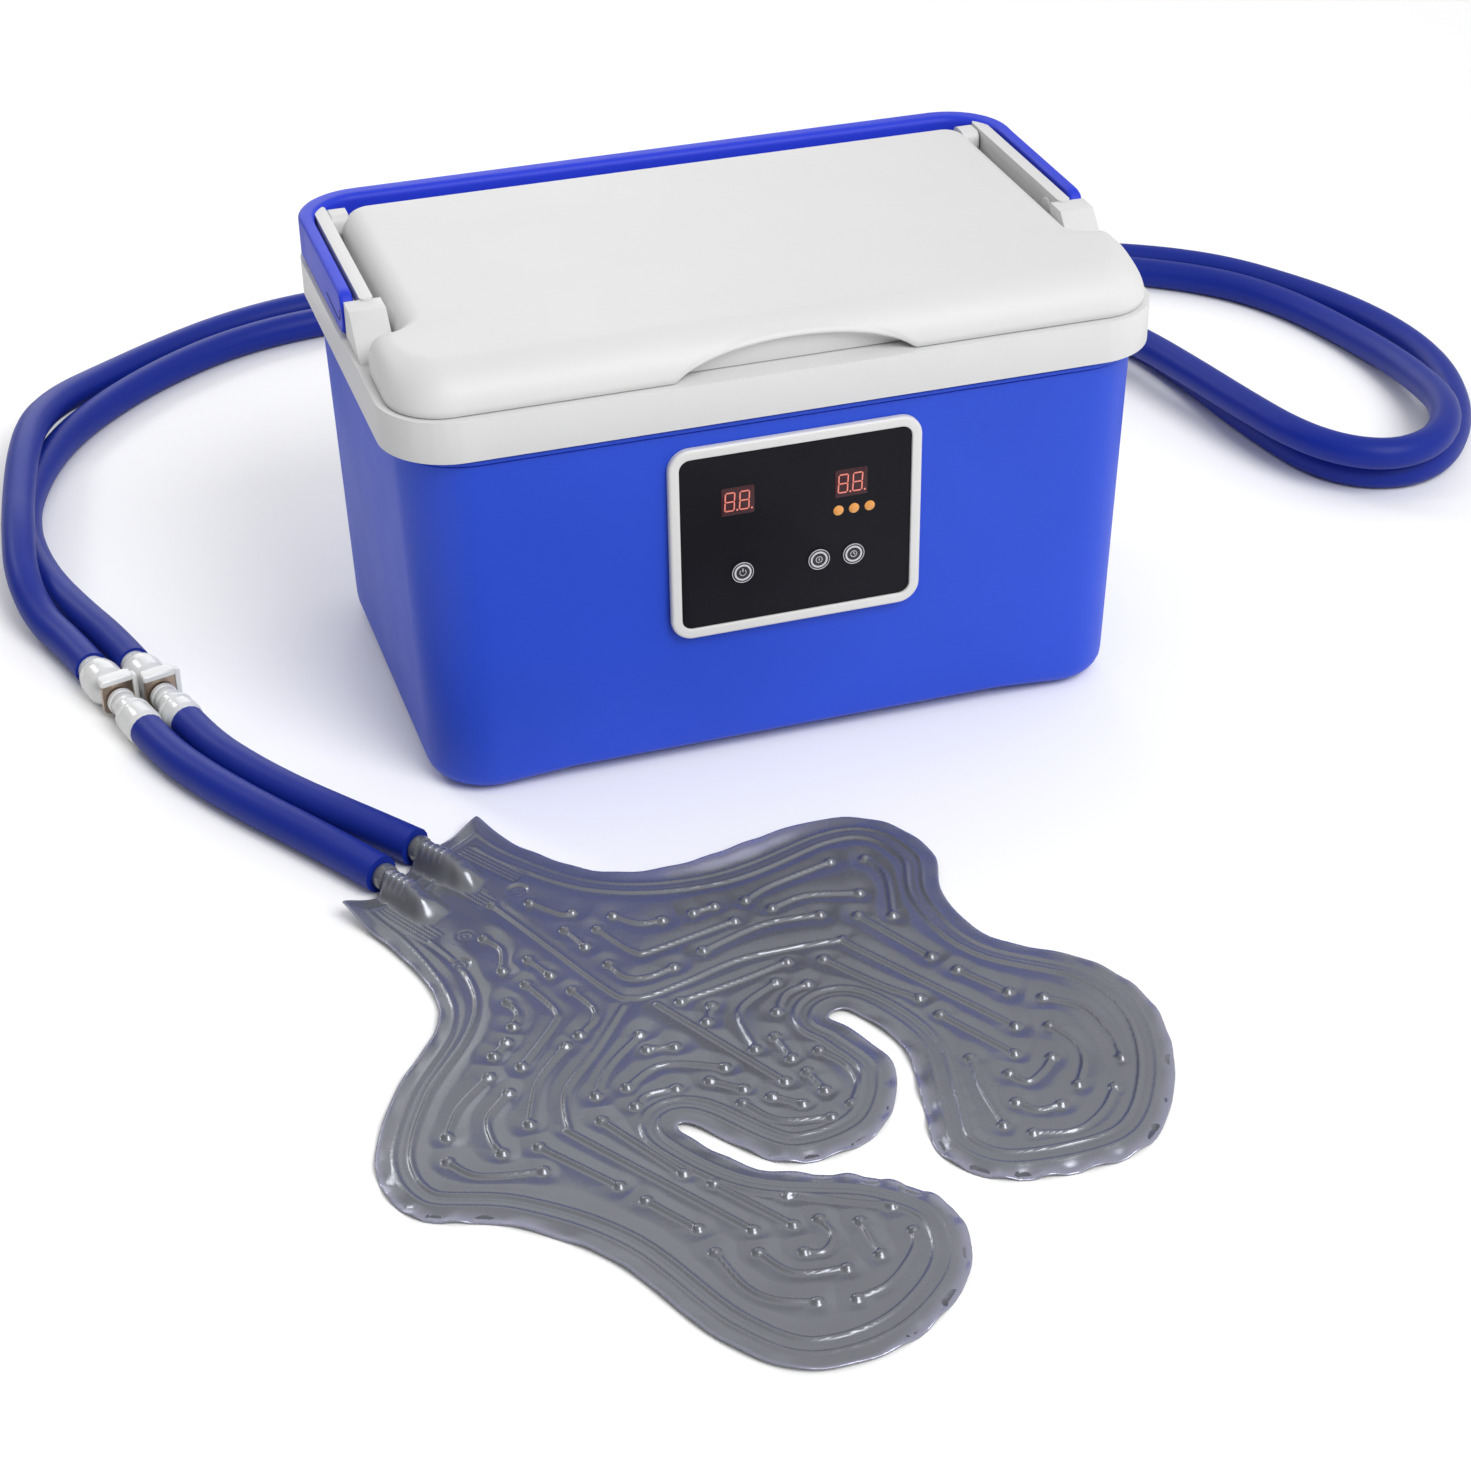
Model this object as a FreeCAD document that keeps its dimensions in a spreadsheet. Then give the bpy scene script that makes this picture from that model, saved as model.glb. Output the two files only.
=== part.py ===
"""Cold therapy unit: an insulated ice-water box with a control panel and pump,
a pair of circulation hoses, two quick couplings and a welded flow pad.

Units are millimetres.  The frame's origin is the centre of the box's base on
the floor.  +X is to the right of somebody facing the control panel, +Y is
towards the back of the box and +Z is up.
"""
import os
import re
from math import cos, hypot, pi, tan

import FreeCAD, Part
import Sketcher

from FreeCAD import Placement, Rotation, Vector

doc = FreeCAD.newDocument("cold_therapy_unit")

# ---------------------------------------------------------------- dimensions
SIZES = {
    # insulated box
    "case_width": 356, "case_depth": 225, "case_corner": 32,
    "shell_top_width": 343, "shell_top_depth": 217,
    "shell_foot_width": 334, "shell_foot_depth": 211, "shell_foot_corner": 29,
    "shell_wall": 3, "shell_floor_level": 2, "shell_top_level": 170,
    "rim_level": 172.8, "rim_overhang": 1.6, "foot_rounding": 9,
    "underside_recess": 3, "underside_width": 216,
    "foam_floor": 16,
    "tank_width": 304, "tank_depth": 168, "tank_corner": 22, "tank_wall": 2.4,
    "tank_flange_level": 174, "tank_flange": 10,
    "band_level": 174.2, "seam_level": 193.5, "recess_level": 191.5,
    "wall_inner": 163, "wall_thick": 6, "wall_level": 212, "wall_rear": 93,
    "block_front": -48, "block_crest": -27, "block_rear": -15.5,
    "block_inner": 159.5, "block_outer": 176,
    # lid
    "lid_level": 193.9, "lid_top": 213.5, "lid_width": 349, "lid_front": -109,
    "lid_rear": 93, "lid_corner": 29, "waist_width": 316, "waist_front": -49.5,
    "lid_skin": 2.5, "crown_rounding": 6, "liner_level": 180, "liner_clearance": 3,
    "hinge_back": 86, "hinge_level": 206, "hinge_pin_r": 1.6, "hinge_tab_r": 4.5,
    "grip_span": 108, "grip_bite": 17, "grip_level": 204,
    # handle
    "handle_outer": 177, "handle_thick": 6, "handle_back": 111, "handle_bar_depth": 11,
    "handle_corner": 30, "pivot_back": -4, "pivot_level": 203, "arm_half": 10,
    "pin_r": 4, "running_gap": 0.05,
    # control panel
    "panel_offset": 1, "panel_level": 115.5, "bezel_width": 118, "bezel_height": 94.5,
    "bezel_corner": 10, "window_width": 108.5, "window_height": 84.5, "window_corner": 5,
    "bezel_front": 111.3, "bezel_back": 105.4, "plate_front": 110.4, "plate_back": 108.8,
    "digit_width": 15.3, "digit_height": 13.5, "digit_level": 134.2,
    "key_r": 5.2, "key_gap": 0.2, "key_level": 98, "led_r": 2.5, "led_level": 120.9,
    "board_front": 103.2, "board_thick": 1.6,
    # pump
    "pump_x": 96, "pump_y": 22, "pump_r": 22, "pump_height": 46, "pump_wall": 2,
    "shaft_r": 1.5, "impeller_r": 14,
    # hoses
    "hose_od": 17, "port_level": 52, "port_back": 108.4, "supply_x": 76, "return_x": 102,
    "port_r": 5.5,
    # couplings and pad
    "coupling_r": 8, "bore_r": 4.2, "coupling_level": 8.7,
    "pad_thick": 5.5, "barb_r": 4.4, "tunnel_r": 6.2,
}

sheet = doc.addObject("Spreadsheet::Sheet", "Sizes")
for row, (alias, amount) in enumerate(SIZES.items(), start=1):
    sheet.set("A%d" % row, alias)
    sheet.set("B%d" % row, str(amount))
    sheet.setAlias("B%d" % row, alias)
doc.recompute()

NAMES = re.compile(r"[a-z][a-z_]*[a-z]")
parts = {}


def formula(text):
    """Write a formula of the sheet's aliases as a document expression."""
    return NAMES.sub(lambda found: "Sizes." + found.group(0), str(text))


def value(text):
    """Number that a formula of the sheet's aliases gives."""
    total = 0.0
    for sign, term in re.findall(r"([+-]?)\s*([a-z_0-9./*]+)", str(text)):
        product = 1.0
        for operator, factor in re.findall(r"([*/]?)([a-z_0-9.]+)", term):
            amount = SIZES[factor] if factor in SIZES else float(factor)
            product = product / amount if operator == "/" else product * amount
        total += -product if sign == "-" else product
    return total


def bind(item, prop, text):
    item.setExpression(prop, formula(text))


def keep(name, item, placement=None):
    """Register a sub-part under its node name."""
    item.Label = name
    if placement is not None:
        item.Placement = placement
    parts[name] = item
    return item


# ---------------------------------------------------------------- PartDesign helpers
def new_body(name):
    body = doc.addObject("PartDesign::Body", "Body_" + name)
    return keep(name, body)


def new_sketch(body, level, across="0", along="0", plane="XY_Plane"):
    """Empty sketch parallel to an origin plane; level is measured along its normal."""
    sketch = body.newObject("Sketcher::SketchObject", "Sketch")
    base = [item for item in body.Origin.OriginFeatures if item.Role == plane][0]
    sketch.AttachmentSupport = (base, [""])
    sketch.MapMode = "FlatFace"
    bind(sketch, "AttachmentOffset.Base.x", across)
    bind(sketch, "AttachmentOffset.Base.y", along)
    bind(sketch, "AttachmentOffset.Base.z", level)
    return sketch


def size_constraint(sketch, name, text, *definition):
    index = sketch.addConstraint(Sketcher.Constraint(*definition, value(text)))
    sketch.renameConstraint(index, name)
    bind(sketch, "Constraints." + name, text)


def rounded_rectangle(sketch, width, height, corner):
    """Fully constrained rounded rectangle centred on the sketch's origin."""
    half_w = value(width) / 2
    half_h = value(height) / 2
    r = value(corner)
    ends = [((-half_w + r, -half_h), (half_w - r, -half_h)),
            ((half_w, -half_h + r), (half_w, half_h - r)),
            ((half_w - r, half_h), (-half_w + r, half_h)),
            ((-half_w, half_h - r), (-half_w, -half_h + r))]
    centres = [(half_w - r, -half_h + r), (half_w - r, half_h - r),
               (-half_w + r, half_h - r), (-half_w + r, -half_h + r)]
    for start, end in ends:
        sketch.addGeometry(Part.LineSegment(Vector(*start, 0), Vector(*end, 0)), False)
    for turn, centre in enumerate(centres):
        circle = Part.Circle(Vector(*centre, 0), Vector(0, 0, 1), r)
        first = (turn - 1) * pi / 2
        sketch.addGeometry(Part.ArcOfCircle(circle, first, first + pi / 2), False)
    for side in range(4):
        sketch.addConstraint(Sketcher.Constraint("Tangent", side, 2, 4 + side, 1))
        sketch.addConstraint(Sketcher.Constraint("Tangent", 4 + side, 2, (side + 1) % 4, 1))
        kind = "Horizontal" if side % 2 == 0 else "Vertical"
        sketch.addConstraint(Sketcher.Constraint(kind, side))
    for turn in range(3):
        sketch.addConstraint(Sketcher.Constraint("Equal", 4 + turn, 5 + turn))
    size_constraint(sketch, "corner", corner, "Radius", 4)
    size_constraint(sketch, "width", width, "DistanceX", 3, 1, 1, 1)
    size_constraint(sketch, "height", height, "DistanceY", 0, 1, 2, 1)
    sketch.addConstraint(Sketcher.Constraint("Symmetric", 0, 1, 2, 1, -1, 1))


def circle(sketch, radius):
    sketch.addGeometry(Part.Circle(Vector(0, 0, 0), Vector(0, 0, 1), value(radius)), False)
    sketch.addConstraint(Sketcher.Constraint("Coincident", 0, 3, -1, 1))
    size_constraint(sketch, "radius", radius, "Radius", 0)


def extrude(body, sketch, low, high, cutting):
    kind = "PartDesign::Pocket" if cutting else "PartDesign::Pad"
    feature = body.newObject(kind, "Pocket" if cutting else "Pad")
    feature.Profile = sketch
    bind(feature, "Length", "(%s) - (%s)" % (high, low))
    sketch.Visibility = False
    return feature


def plate(body, width, height, corner, low, high, across="0", along="0",
          plane="XY_Plane", cutting=False):
    """Add or cut a rounded rectangular block between two levels of a plane's normal."""
    sketch = new_sketch(body, high if cutting else low, across, along, plane)
    rounded_rectangle(sketch, width, height, corner)
    return extrude(body, sketch, low, high, cutting)


def disc(body, radius, low, high, across="0", along="0", plane="XY_Plane", cutting=False):
    """Add or cut a round block between two levels of a plane's normal."""
    sketch = new_sketch(body, high if cutting else low, across, along, plane)
    circle(sketch, radius)
    return extrude(body, sketch, low, high, cutting)


def round_edges(body, radius, chosen):
    """Fillet the edges of a body whose bounding boxes pass a test."""
    base = body.Tip
    names = ["Edge%d" % (index + 1) for index, edge in enumerate(base.Shape.Edges)
             if chosen(edge.BoundBox)]
    fillet = body.newObject("PartDesign::Fillet", "Fillet")
    fillet.Base = (base, names)
    bind(fillet, "Radius", radius)
    doc.recompute()


def loft(body, lower, upper, cutting=False):
    """Tapered block between two rounded rectangles, each (width, depth, corner, level)."""
    sections = []
    for width, depth, corner, level in (lower, upper):
        sketch = new_sketch(body, level)
        rounded_rectangle(sketch, width, depth, corner)
        sections.append(sketch)
    kind = "PartDesign::SubtractiveLoft" if cutting else "PartDesign::AdditiveLoft"
    feature = body.newObject(kind, "Loft")
    feature.Profile = sections[0]
    feature.Sections = [sections[1]]
    return feature


# ---------------------------------------------------------------- Part helpers
def box(name, width, depth, height, corner):
    """Part box with its low corner at three formulas."""
    item = doc.addObject("Part::Box", name)
    for prop, text in zip(("Length", "Width", "Height"), (width, depth, height)):
        bind(item, prop, text)
    for axis, text in zip("xyz", corner):
        bind(item, "Placement.Base." + axis, text)
    return item


def cylinder(name, radius, height, base, direction=(0, 0, 1)):
    """Part cylinder whose axis starts at three formulas."""
    item = doc.addObject("Part::Cylinder", name)
    bind(item, "Radius", radius)
    bind(item, "Height", height)
    item.Placement = Placement(Vector(0, 0, 0), Rotation(Vector(0, 0, 1), Vector(*direction)))
    for axis, text in zip("xyz", base):
        bind(item, "Placement.Base." + axis, text)
    return item


def group(name, items):
    """Identical separate pieces kept together in one node."""
    item = doc.addObject("Part::Compound", name)
    item.Links = items
    return keep(name, item)


def solid(name, shape, placement=None):
    """Sub-part whose shape is worked out with Part's own functions."""
    item = doc.addObject("Part::Feature", name)
    item.Shape = shape
    return keep(name, item, placement)


# ---------------------------------------------------------------- insulated box
def make_outer_shell():
    shell = new_body("outer_shell")
    loft(shell, ("shell_foot_width", "shell_foot_depth", "shell_foot_corner", "shell_floor_level"),
         ("shell_top_width", "shell_top_depth", "case_corner", "shell_top_level"))
    plate(shell, "shell_top_width + 2*rim_overhang", "shell_top_depth + 2*rim_overhang",
          "case_corner", "shell_top_level - 1.5", "rim_level")
    doc.recompute()
    round_edges(shell, "foot_rounding", lambda box: box.ZMax < SIZES["shell_floor_level"] + 0.01)
    loft(shell, ("shell_foot_width - 2*shell_wall - 4", "shell_foot_depth - 2*shell_wall - 4",
                 "shell_foot_corner", "shell_floor_level + shell_wall + 3"),
         ("shell_top_width - 2*shell_wall", "shell_top_depth - 2*shell_wall",
          "case_corner - shell_wall", "rim_level + 0.2"), cutting=True)
    plate(shell, "underside_width", "shell_foot_depth + 20", "4", "shell_floor_level - 1",
          "shell_floor_level + underside_recess", cutting=True)
    plate(shell, "window_width + 1", "window_height + 1", "window_corner", "95", "115",
          "panel_offset", "panel_level", "XZ_Plane", cutting=True)
    for port in ("supply_x", "return_x"):
        disc(shell, "port_r + 0.1", "-115", "-95", port, "port_level", "XZ_Plane", cutting=True)
    disc(shell, "4.1", "-115", "-95", "-110", "30", "XZ_Plane", cutting=True)


def make_foam():
    foam = new_body("foam_insulation")
    plate(foam, "tank_width + 16", "tank_depth + 20", "tank_corner", "shell_floor_level + 6.5",
          "tank_flange_level - 1.8")
    plate(foam, "tank_width + 0.4", "tank_depth + 0.4", "tank_corner",
          "foam_floor + 6.2", "rim_level + 5", cutting=True)
    plate(foam, "bezel_width + 4", "bezel_height + 4", "4", "tank_depth/2 + 3", "120",
          "panel_offset", "panel_level", "XZ_Plane", cutting=True)
    for port in ("supply_x", "return_x"):
        disc(foam, "port_r + 0.1", "-120", "-80", port, "port_level", "XZ_Plane", cutting=True)


def make_tank():
    tank = new_body("inner_tank")
    plate(tank, "tank_width", "tank_depth", "tank_corner", "foam_floor + 6.4", "tank_flange_level")
    plate(tank, "tank_width + 2*tank_flange", "tank_depth + 2*tank_flange",
          "tank_corner + tank_flange", "tank_flange_level - 1.6", "tank_flange_level")
    plate(tank, "tank_width - 2*tank_wall", "tank_depth - 2*tank_wall", "tank_corner - tank_wall",
          "foam_floor + 6.4 + tank_wall", "tank_flange_level + 1", cutting=True)
    for port in ("supply_x", "return_x"):
        disc(tank, "port_r + 0.1", "-120", "-75", port, "port_level", "XZ_Plane", cutting=True)
    disc(tank, "2.6", "-120", "-75", "-80", "60", "XZ_Plane", cutting=True)


def sloped_block(collar, hand):
    """Block in front of a handle arm: upright at the back and sloping down to the front."""
    near, far = ("block_inner", "block_outer") if hand > 0 else ("-block_outer", "-block_inner")
    block = collar.newObject("PartDesign::AdditiveWedge", "Block")
    corners = {"Xmin": near, "Xmax": far, "X2min": near, "X2max": far,
               "Ymin": "seam_level - 3", "Ymax": "wall_level - 1",
               "Zmin": "-block_rear", "Zmax": "-block_front",
               "Z2min": "-block_rear", "Z2max": "-block_crest"}
    for name, text in corners.items():
        bind(block, name, text)
    block.Placement = Placement(Vector(0, 0, 0), Rotation(Vector(1, 0, 0), 90))
    doc.recompute()


def make_collar():
    collar = new_body("collar")
    plate(collar, "case_width", "case_depth", "case_corner", "band_level", "seam_level")
    for side in ("-", ""):
        plate(collar, "wall_thick", "wall_rear - block_rear + 2", "2.4", "seam_level - 3",
              "wall_level", side + "(wall_inner + wall_thick/2)",
              "(wall_rear + block_rear - 2)/2")
        sloped_block(collar, -1 if side else 1)
        plate(collar, "40", "200", "3", "recess_level", "wall_level + 10",
              side + "(wall_inner + wall_thick + 20.01)", "block_rear + 100", cutting=True)
    plate(collar, "2*handle_outer + 10", "40", "1", "recess_level", "wall_level + 10",
          "0", "wall_rear + 21.5", cutting=True)
    plate(collar, "tank_width - 2*tank_wall", "tank_depth - 2*tank_wall", "tank_corner - tank_wall",
          "band_level - 5", "seam_level + 2", cutting=True)
    disc(collar, "pin_r", "-wall_inner - 12", "wall_inner + 12", "pivot_back", "pivot_level",
         "YZ_Plane", cutting=True)
    disc(collar, "hinge_pin_r + running_gap", "-wall_inner - 12", "wall_inner + 12",
         "hinge_back", "hinge_level", "YZ_Plane", cutting=True)
    return collar


def make_feet():
    reach_x = "shell_foot_width/2 - 30"
    reach_y = "shell_foot_depth/2 - 30"
    feet = []
    for across in ("-(%s)" % reach_x, reach_x):
        for along in ("-(%s)" % reach_y, reach_y):
            feet.append(cylinder("Foot", "8", "shell_floor_level", (across, along, "0")))
    group("rubber_feet", feet)


# ---------------------------------------------------------------- lid and handle
def make_lid():
    lid = new_body("lid_shell")
    plate(lid, "waist_width", "lid_rear - lid_front", "14", "lid_level", "lid_top",
          "0", "(lid_rear + lid_front)/2")
    plate(lid, "lid_width", "waist_front - lid_front", "case_corner - 8", "lid_level", "lid_top",
          "0", "(waist_front + lid_front)/2")
    doc.recompute()
    round_edges(lid, "crown_rounding", lambda box: box.ZMin > SIZES["lid_top"] - 0.01)
    plate(lid, "waist_width - 2*lid_skin - 4", "lid_rear - lid_front - grip_bite - 5", "12",
          "lid_level - 1", "lid_top - lid_skin", "0",
          "(lid_rear + lid_front + grip_bite - 6)/2", cutting=True)
    plate(lid, "waist_width + 40", "20", "1", "lid_level - 1", "lid_level + 2.7",
          "0", "lid_rear + 5.4", cutting=True)
    plate(lid, "grip_span", "2*grip_bite", "grip_bite - 0.5", "lid_level - 1", "grip_level",
          "0", "lid_front - 3", cutting=True)
    for side in ("-", ""):
        disc(lid, "hinge_tab_r", side + "(waist_width/2 + 2)" if side else "waist_width/2 - 2.5",
             side + "(waist_width/2 - 2.5)" if side else "waist_width/2 + 2",
             "hinge_back", "hinge_level", "YZ_Plane")
    disc(lid, "hinge_pin_r", "-wall_inner", "wall_inner", "hinge_back", "hinge_level",
         "YZ_Plane", cutting=True)
    return lid


def make_lid_inside():
    liner = new_body("lid_liner")
    plug_w = "tank_width - 2*tank_wall - 2*liner_clearance"
    plug_d = "tank_depth - 2*tank_wall - 2*liner_clearance"
    plate(liner, plug_w, plug_d, "tank_corner - tank_wall - liner_clearance", "liner_level",
          "lid_level + 2.5")
    plate(liner, "tank_width - 2*tank_wall - 2*liner_clearance - 5",
          "tank_depth - 2*tank_wall - 2*liner_clearance - 5", "tank_corner - 8",
          "liner_level + 2.2", "lid_level + 3", cutting=True)
    core = new_body("lid_insulation")
    plate(core, "tank_width - 2*tank_wall - 2*liner_clearance - 6",
          "tank_depth - 2*tank_wall - 2*liner_clearance - 6", "tank_corner - 8.5",
          "liner_level + 2.4", "lid_top - lid_skin - 0.3")
    seal = new_body("lid_gasket")
    plate(seal, "tank_width + 2", "tank_depth + 2", "tank_corner + 1", "seam_level + 0.05",
          "lid_level + 1.4")
    plate(seal, "tank_width - 2*tank_wall - 2*liner_clearance + 0.2",
          "tank_depth - 2*tank_wall - 2*liner_clearance + 0.2", "tank_corner - 5.2",
          "seam_level - 1", "lid_level + 3", cutting=True)


def make_hinge_pins():
    pins = []
    for side in (-1, 1):
        base = ("%d*(waist_width/2 - 2.4)" % side, "hinge_back", "hinge_level")
        pins.append(cylinder("HingePin", "hinge_pin_r", "wall_inner - waist_width/2 + wall_thick",
                             base, (side, 0, 0)))
    group("hinge_pins", pins)


def make_handle():
    handle = new_body("handle")
    inner = "handle_outer - handle_thick"
    plate(handle, "2*handle_outer", "handle_back - pivot_back + 60", "handle_corner",
          "pivot_level - arm_half", "pivot_level + arm_half",
          "0", "(handle_back + pivot_back - 60)/2")
    plate(handle, "2*handle_outer - 2*handle_thick", "handle_back - pivot_back + 60",
          "handle_corner - 20", "pivot_level - arm_half - 1",
          "pivot_level + arm_half + 1", "0", "(handle_back + pivot_back - 60)/2 - handle_bar_depth",
          cutting=True)
    plate(handle, "2*handle_outer + 10", "90", "1", "pivot_level - arm_half - 1",
          "pivot_level + arm_half + 1", "0", "pivot_back - 45", cutting=True)
    for low, high in (("-handle_outer", "-(%s)" % inner), (inner, "handle_outer")):
        disc(handle, "arm_half", low, high, "pivot_back", "pivot_level", "YZ_Plane")
    disc(handle, "pin_r + running_gap", "-handle_outer - 1", "handle_outer + 1",
         "pivot_back", "pivot_level", "YZ_Plane", cutting=True)
    pins = []
    for side in (-1, 1):
        pins.append(cylinder("PivotPin", "pin_r", "handle_outer - wall_inner - 0.5",
                             ("%d*wall_inner" % side, "pivot_back", "pivot_level"), (side, 0, 0)))
    group("handle_pins", pins)


# ---------------------------------------------------------------- control panel
KEYS = {"key_power": -24.5, "key_start": 11.5, "key_timer": 28}
DISPLAYS = {"display_left": -26.3, "display_right": 26.6}
LAMPS = (20.8, 28.2, 35.6)


def make_panel():
    bezel = new_body("panel_bezel")
    plate(bezel, "bezel_width", "bezel_height", "bezel_corner", "bezel_back + 3.1", "bezel_front",
          "panel_offset", "panel_level", "XZ_Plane")
    plate(bezel, "window_width", "window_height", "window_corner", "bezel_back", "bezel_front + 1",
          "panel_offset", "panel_level", "XZ_Plane", cutting=True)
    front = new_body("panel_plate")
    plate(front, "window_width - 0.3", "window_height - 0.3", "window_corner", "plate_back",
          "plate_front", "panel_offset", "panel_level", "XZ_Plane")
    for across in KEYS.values():
        disc(front, "key_r + key_gap", "plate_back - 1", "plate_front + 1", str(across),
             "key_level", "XZ_Plane", cutting=True)
    for across in DISPLAYS.values():
        plate(front, "digit_width + 0.3", "digit_height + 0.3", "0.1", "plate_back - 1",
              "plate_front + 1", str(across), "digit_level", "XZ_Plane", cutting=True)
    for across in LAMPS:
        disc(front, "led_r + 0.1", "plate_back - 1", "plate_front + 1", str(across),
             "led_level", "XZ_Plane", cutting=True)
    for name, across in DISPLAYS.items():
        box(name, "digit_width", "plate_front - 0.1 - board_front", "digit_height",
            ("%s - digit_width/2" % across, "-plate_front + 0.1", "digit_level - digit_height/2"))
        keep(name, doc.getObject(name))
    for name, across in KEYS.items():
        key = new_body(name)
        disc(key, "key_r", "plate_back - 0.9", "plate_front + 0.3", str(across), "key_level",
             "XZ_Plane")
        disc(key, "2", "plate_back - 1.9", "plate_back", str(across), "key_level", "XZ_Plane")
    lamps = [cylinder("Lamp", "led_r", "plate_front - 0.1 - board_front",
                      (str(across), "-board_front", "led_level"), (0, -1, 0)) for across in LAMPS]
    group("indicator_leds", lamps)
    switches = [box("Switch", "6", "plate_back - 2.6 - board_front", "6",
                    ("%s - 3" % across, "-plate_back + 2.6", "key_level - 3"))
                for across in KEYS.values()]
    group("tact_switches", switches)
    board = new_body("control_board")
    plate(board, "window_width - 5", "window_height - 5", "2", "board_front - board_thick",
          "board_front", "panel_offset", "panel_level", "XZ_Plane")
    screws = []
    for across in (-44, 46):
        for up in (-34, 34):
            screws.append(cylinder("Screw", "1.5", "plate_back - board_front",
                                   (str(across), "-board_front", "panel_level + %d" % up),
                                   (0, -1, 0)))
    group("board_screws", screws)


# ---------------------------------------------------------------- pump and water path
def make_pump():
    floor = "foam_floor + 6.4 + tank_wall"
    strainer = new_body("pump_strainer")
    disc(strainer, "pump_r", floor + " + 0.1", floor + " + 9", "pump_x", "pump_y")
    disc(strainer, "pump_r - pump_wall", floor + " + 2", floor + " + 10", "pump_x", "pump_y",
         cutting=True)
    for spread in (-12, -4, 4, 12):
        plate(strainer, "60", "3", "1", floor + " + 3", floor + " + 7", "pump_x",
              "pump_y + %d" % spread, cutting=True)
    housing = new_body("pump_housing")
    disc(housing, "pump_r", floor + " + 9.1", floor + " + pump_height", "pump_x", "pump_y")
    disc(housing, "impeller_r + 2", floor + " + 9", floor + " + 20", "pump_x", "pump_y",
         cutting=True)
    disc(housing, "impeller_r + 1", floor + " + 22", floor + " + pump_height - 2",
         "pump_x", "pump_y", cutting=True)
    disc(housing, "shaft_r + running_gap", floor + " + 19", floor + " + 23", "pump_x", "pump_y",
         cutting=True)
    disc(housing, "4.6", "-pump_y - 30", "-pump_y - 15", "pump_x", floor + " + 15", "XZ_Plane",
         cutting=True)
    impeller = new_body("impeller")
    disc(impeller, "impeller_r", floor + " + 11", floor + " + 13", "pump_x", "pump_y")
    for turn in range(3):
        sketch = new_sketch(impeller, floor + " + 12.9", "pump_x", "pump_y")
        sketch.AttachmentOffset = Placement(sketch.AttachmentOffset.Base,
                                            Rotation(Vector(0, 0, 1), 60 * turn))
        rounded_rectangle(sketch, "2*impeller_r - 3", "1.6", "0.6")
        extrude(impeller, sketch, floor + " + 12.9", floor + " + 18", False)
    cylinder("impeller_shaft", "shaft_r", "14",
             ("pump_x", "pump_y", floor + " + 18"))
    keep("impeller_shaft", doc.getObject("impeller_shaft"))
    rotor = new_body("motor_magnet")
    disc(rotor, "7", floor + " + 23", floor + " + 34", "pump_x", "pump_y")
    disc(rotor, "shaft_r", floor + " + 22", floor + " + 35", "pump_x", "pump_y", cutting=True)
    coil = new_body("motor_coil")
    disc(coil, "impeller_r + 0.9", floor + " + 22.1", floor + " + 38", "pump_x", "pump_y")
    disc(coil, "8", floor + " + 22", floor + " + 39", "pump_x", "pump_y", cutting=True)


def make_ports():
    """Bulkhead fittings through the back wall and the hose gland outside it."""
    for name, port in (("bulkhead_supply", "supply_x"), ("bulkhead_return", "return_x")):
        fitting = new_body(name)
        disc(fitting, "port_r", "-port_back", "-tank_depth/2 + 8", port, "port_level", "XZ_Plane")
        disc(fitting, "port_r + 3.5", "-tank_depth/2 + tank_wall + 0.1",
             "-tank_depth/2 + tank_wall + 4", port, "port_level", "XZ_Plane")
        disc(fitting, "3.2", "-port_back - 1", "-tank_depth/2 + 9", port, "port_level",
             "XZ_Plane", cutting=True)
    gland = new_body("hose_gland")
    plate(gland, "62", "34", "8", "-port_back - 3", "-port_back - 0.1", "supply_x/2 + return_x/2",
          "port_level", "XZ_Plane")
    for port in ("supply_x", "return_x"):
        disc(gland, "hose_od/2 + 2", "-port_back - 12", "-port_back - 2", port, "port_level",
             "XZ_Plane")
        disc(gland, "hose_od/2 + 0.1", "-port_back - 13", "-port_back", port, "port_level",
             "XZ_Plane", cutting=True)
    jack = new_body("dc_jack")
    disc(jack, "4", "-port_back - 0.6", "-96", "-110", "30", "XZ_Plane")
    disc(jack, "5.5", "-port_back - 2", "-port_back - 0.4", "-110", "30", "XZ_Plane")
    disc(jack, "2.75", "-port_back - 3", "-100", "-110", "30", "XZ_Plane", cutting=True)
    keep("temperature_probe", cylinder(
        "temperature_probe", "2.5", "12", ("-80", "tank_depth/2", "60"), (0, -1, 0)))


# ---------------------------------------------------------------- bent tubes
def bent_path(points):
    """Straight runs joined by tangent arcs as large as the two runs allow."""
    edges = []
    start = points[0]
    radii = []
    for before, corner, after in zip(points, points[1:], points[2:]):
        come = (corner - before).normalize()
        leave = (after - corner).normalize()
        half_turn = come.getAngle(leave) / 2
        shorter = min((corner - before).Length, (after - corner).Length)
        setback = 0.45 * shorter
        radius = setback / tan(half_turn)
        radii.append(radius)
        into = corner - come * setback
        out = corner + leave * setback
        bulge = (leave - come).normalize() * (radius / cos(half_turn) - radius)
        edges.append(Part.LineSegment(start, into).toShape())
        edges.append(Part.Arc(into, corner + bulge, out).toShape())
        start = out
    edges.append(Part.LineSegment(start, points[-1]).toShape())
    return Part.Wire(edges), radii


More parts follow.
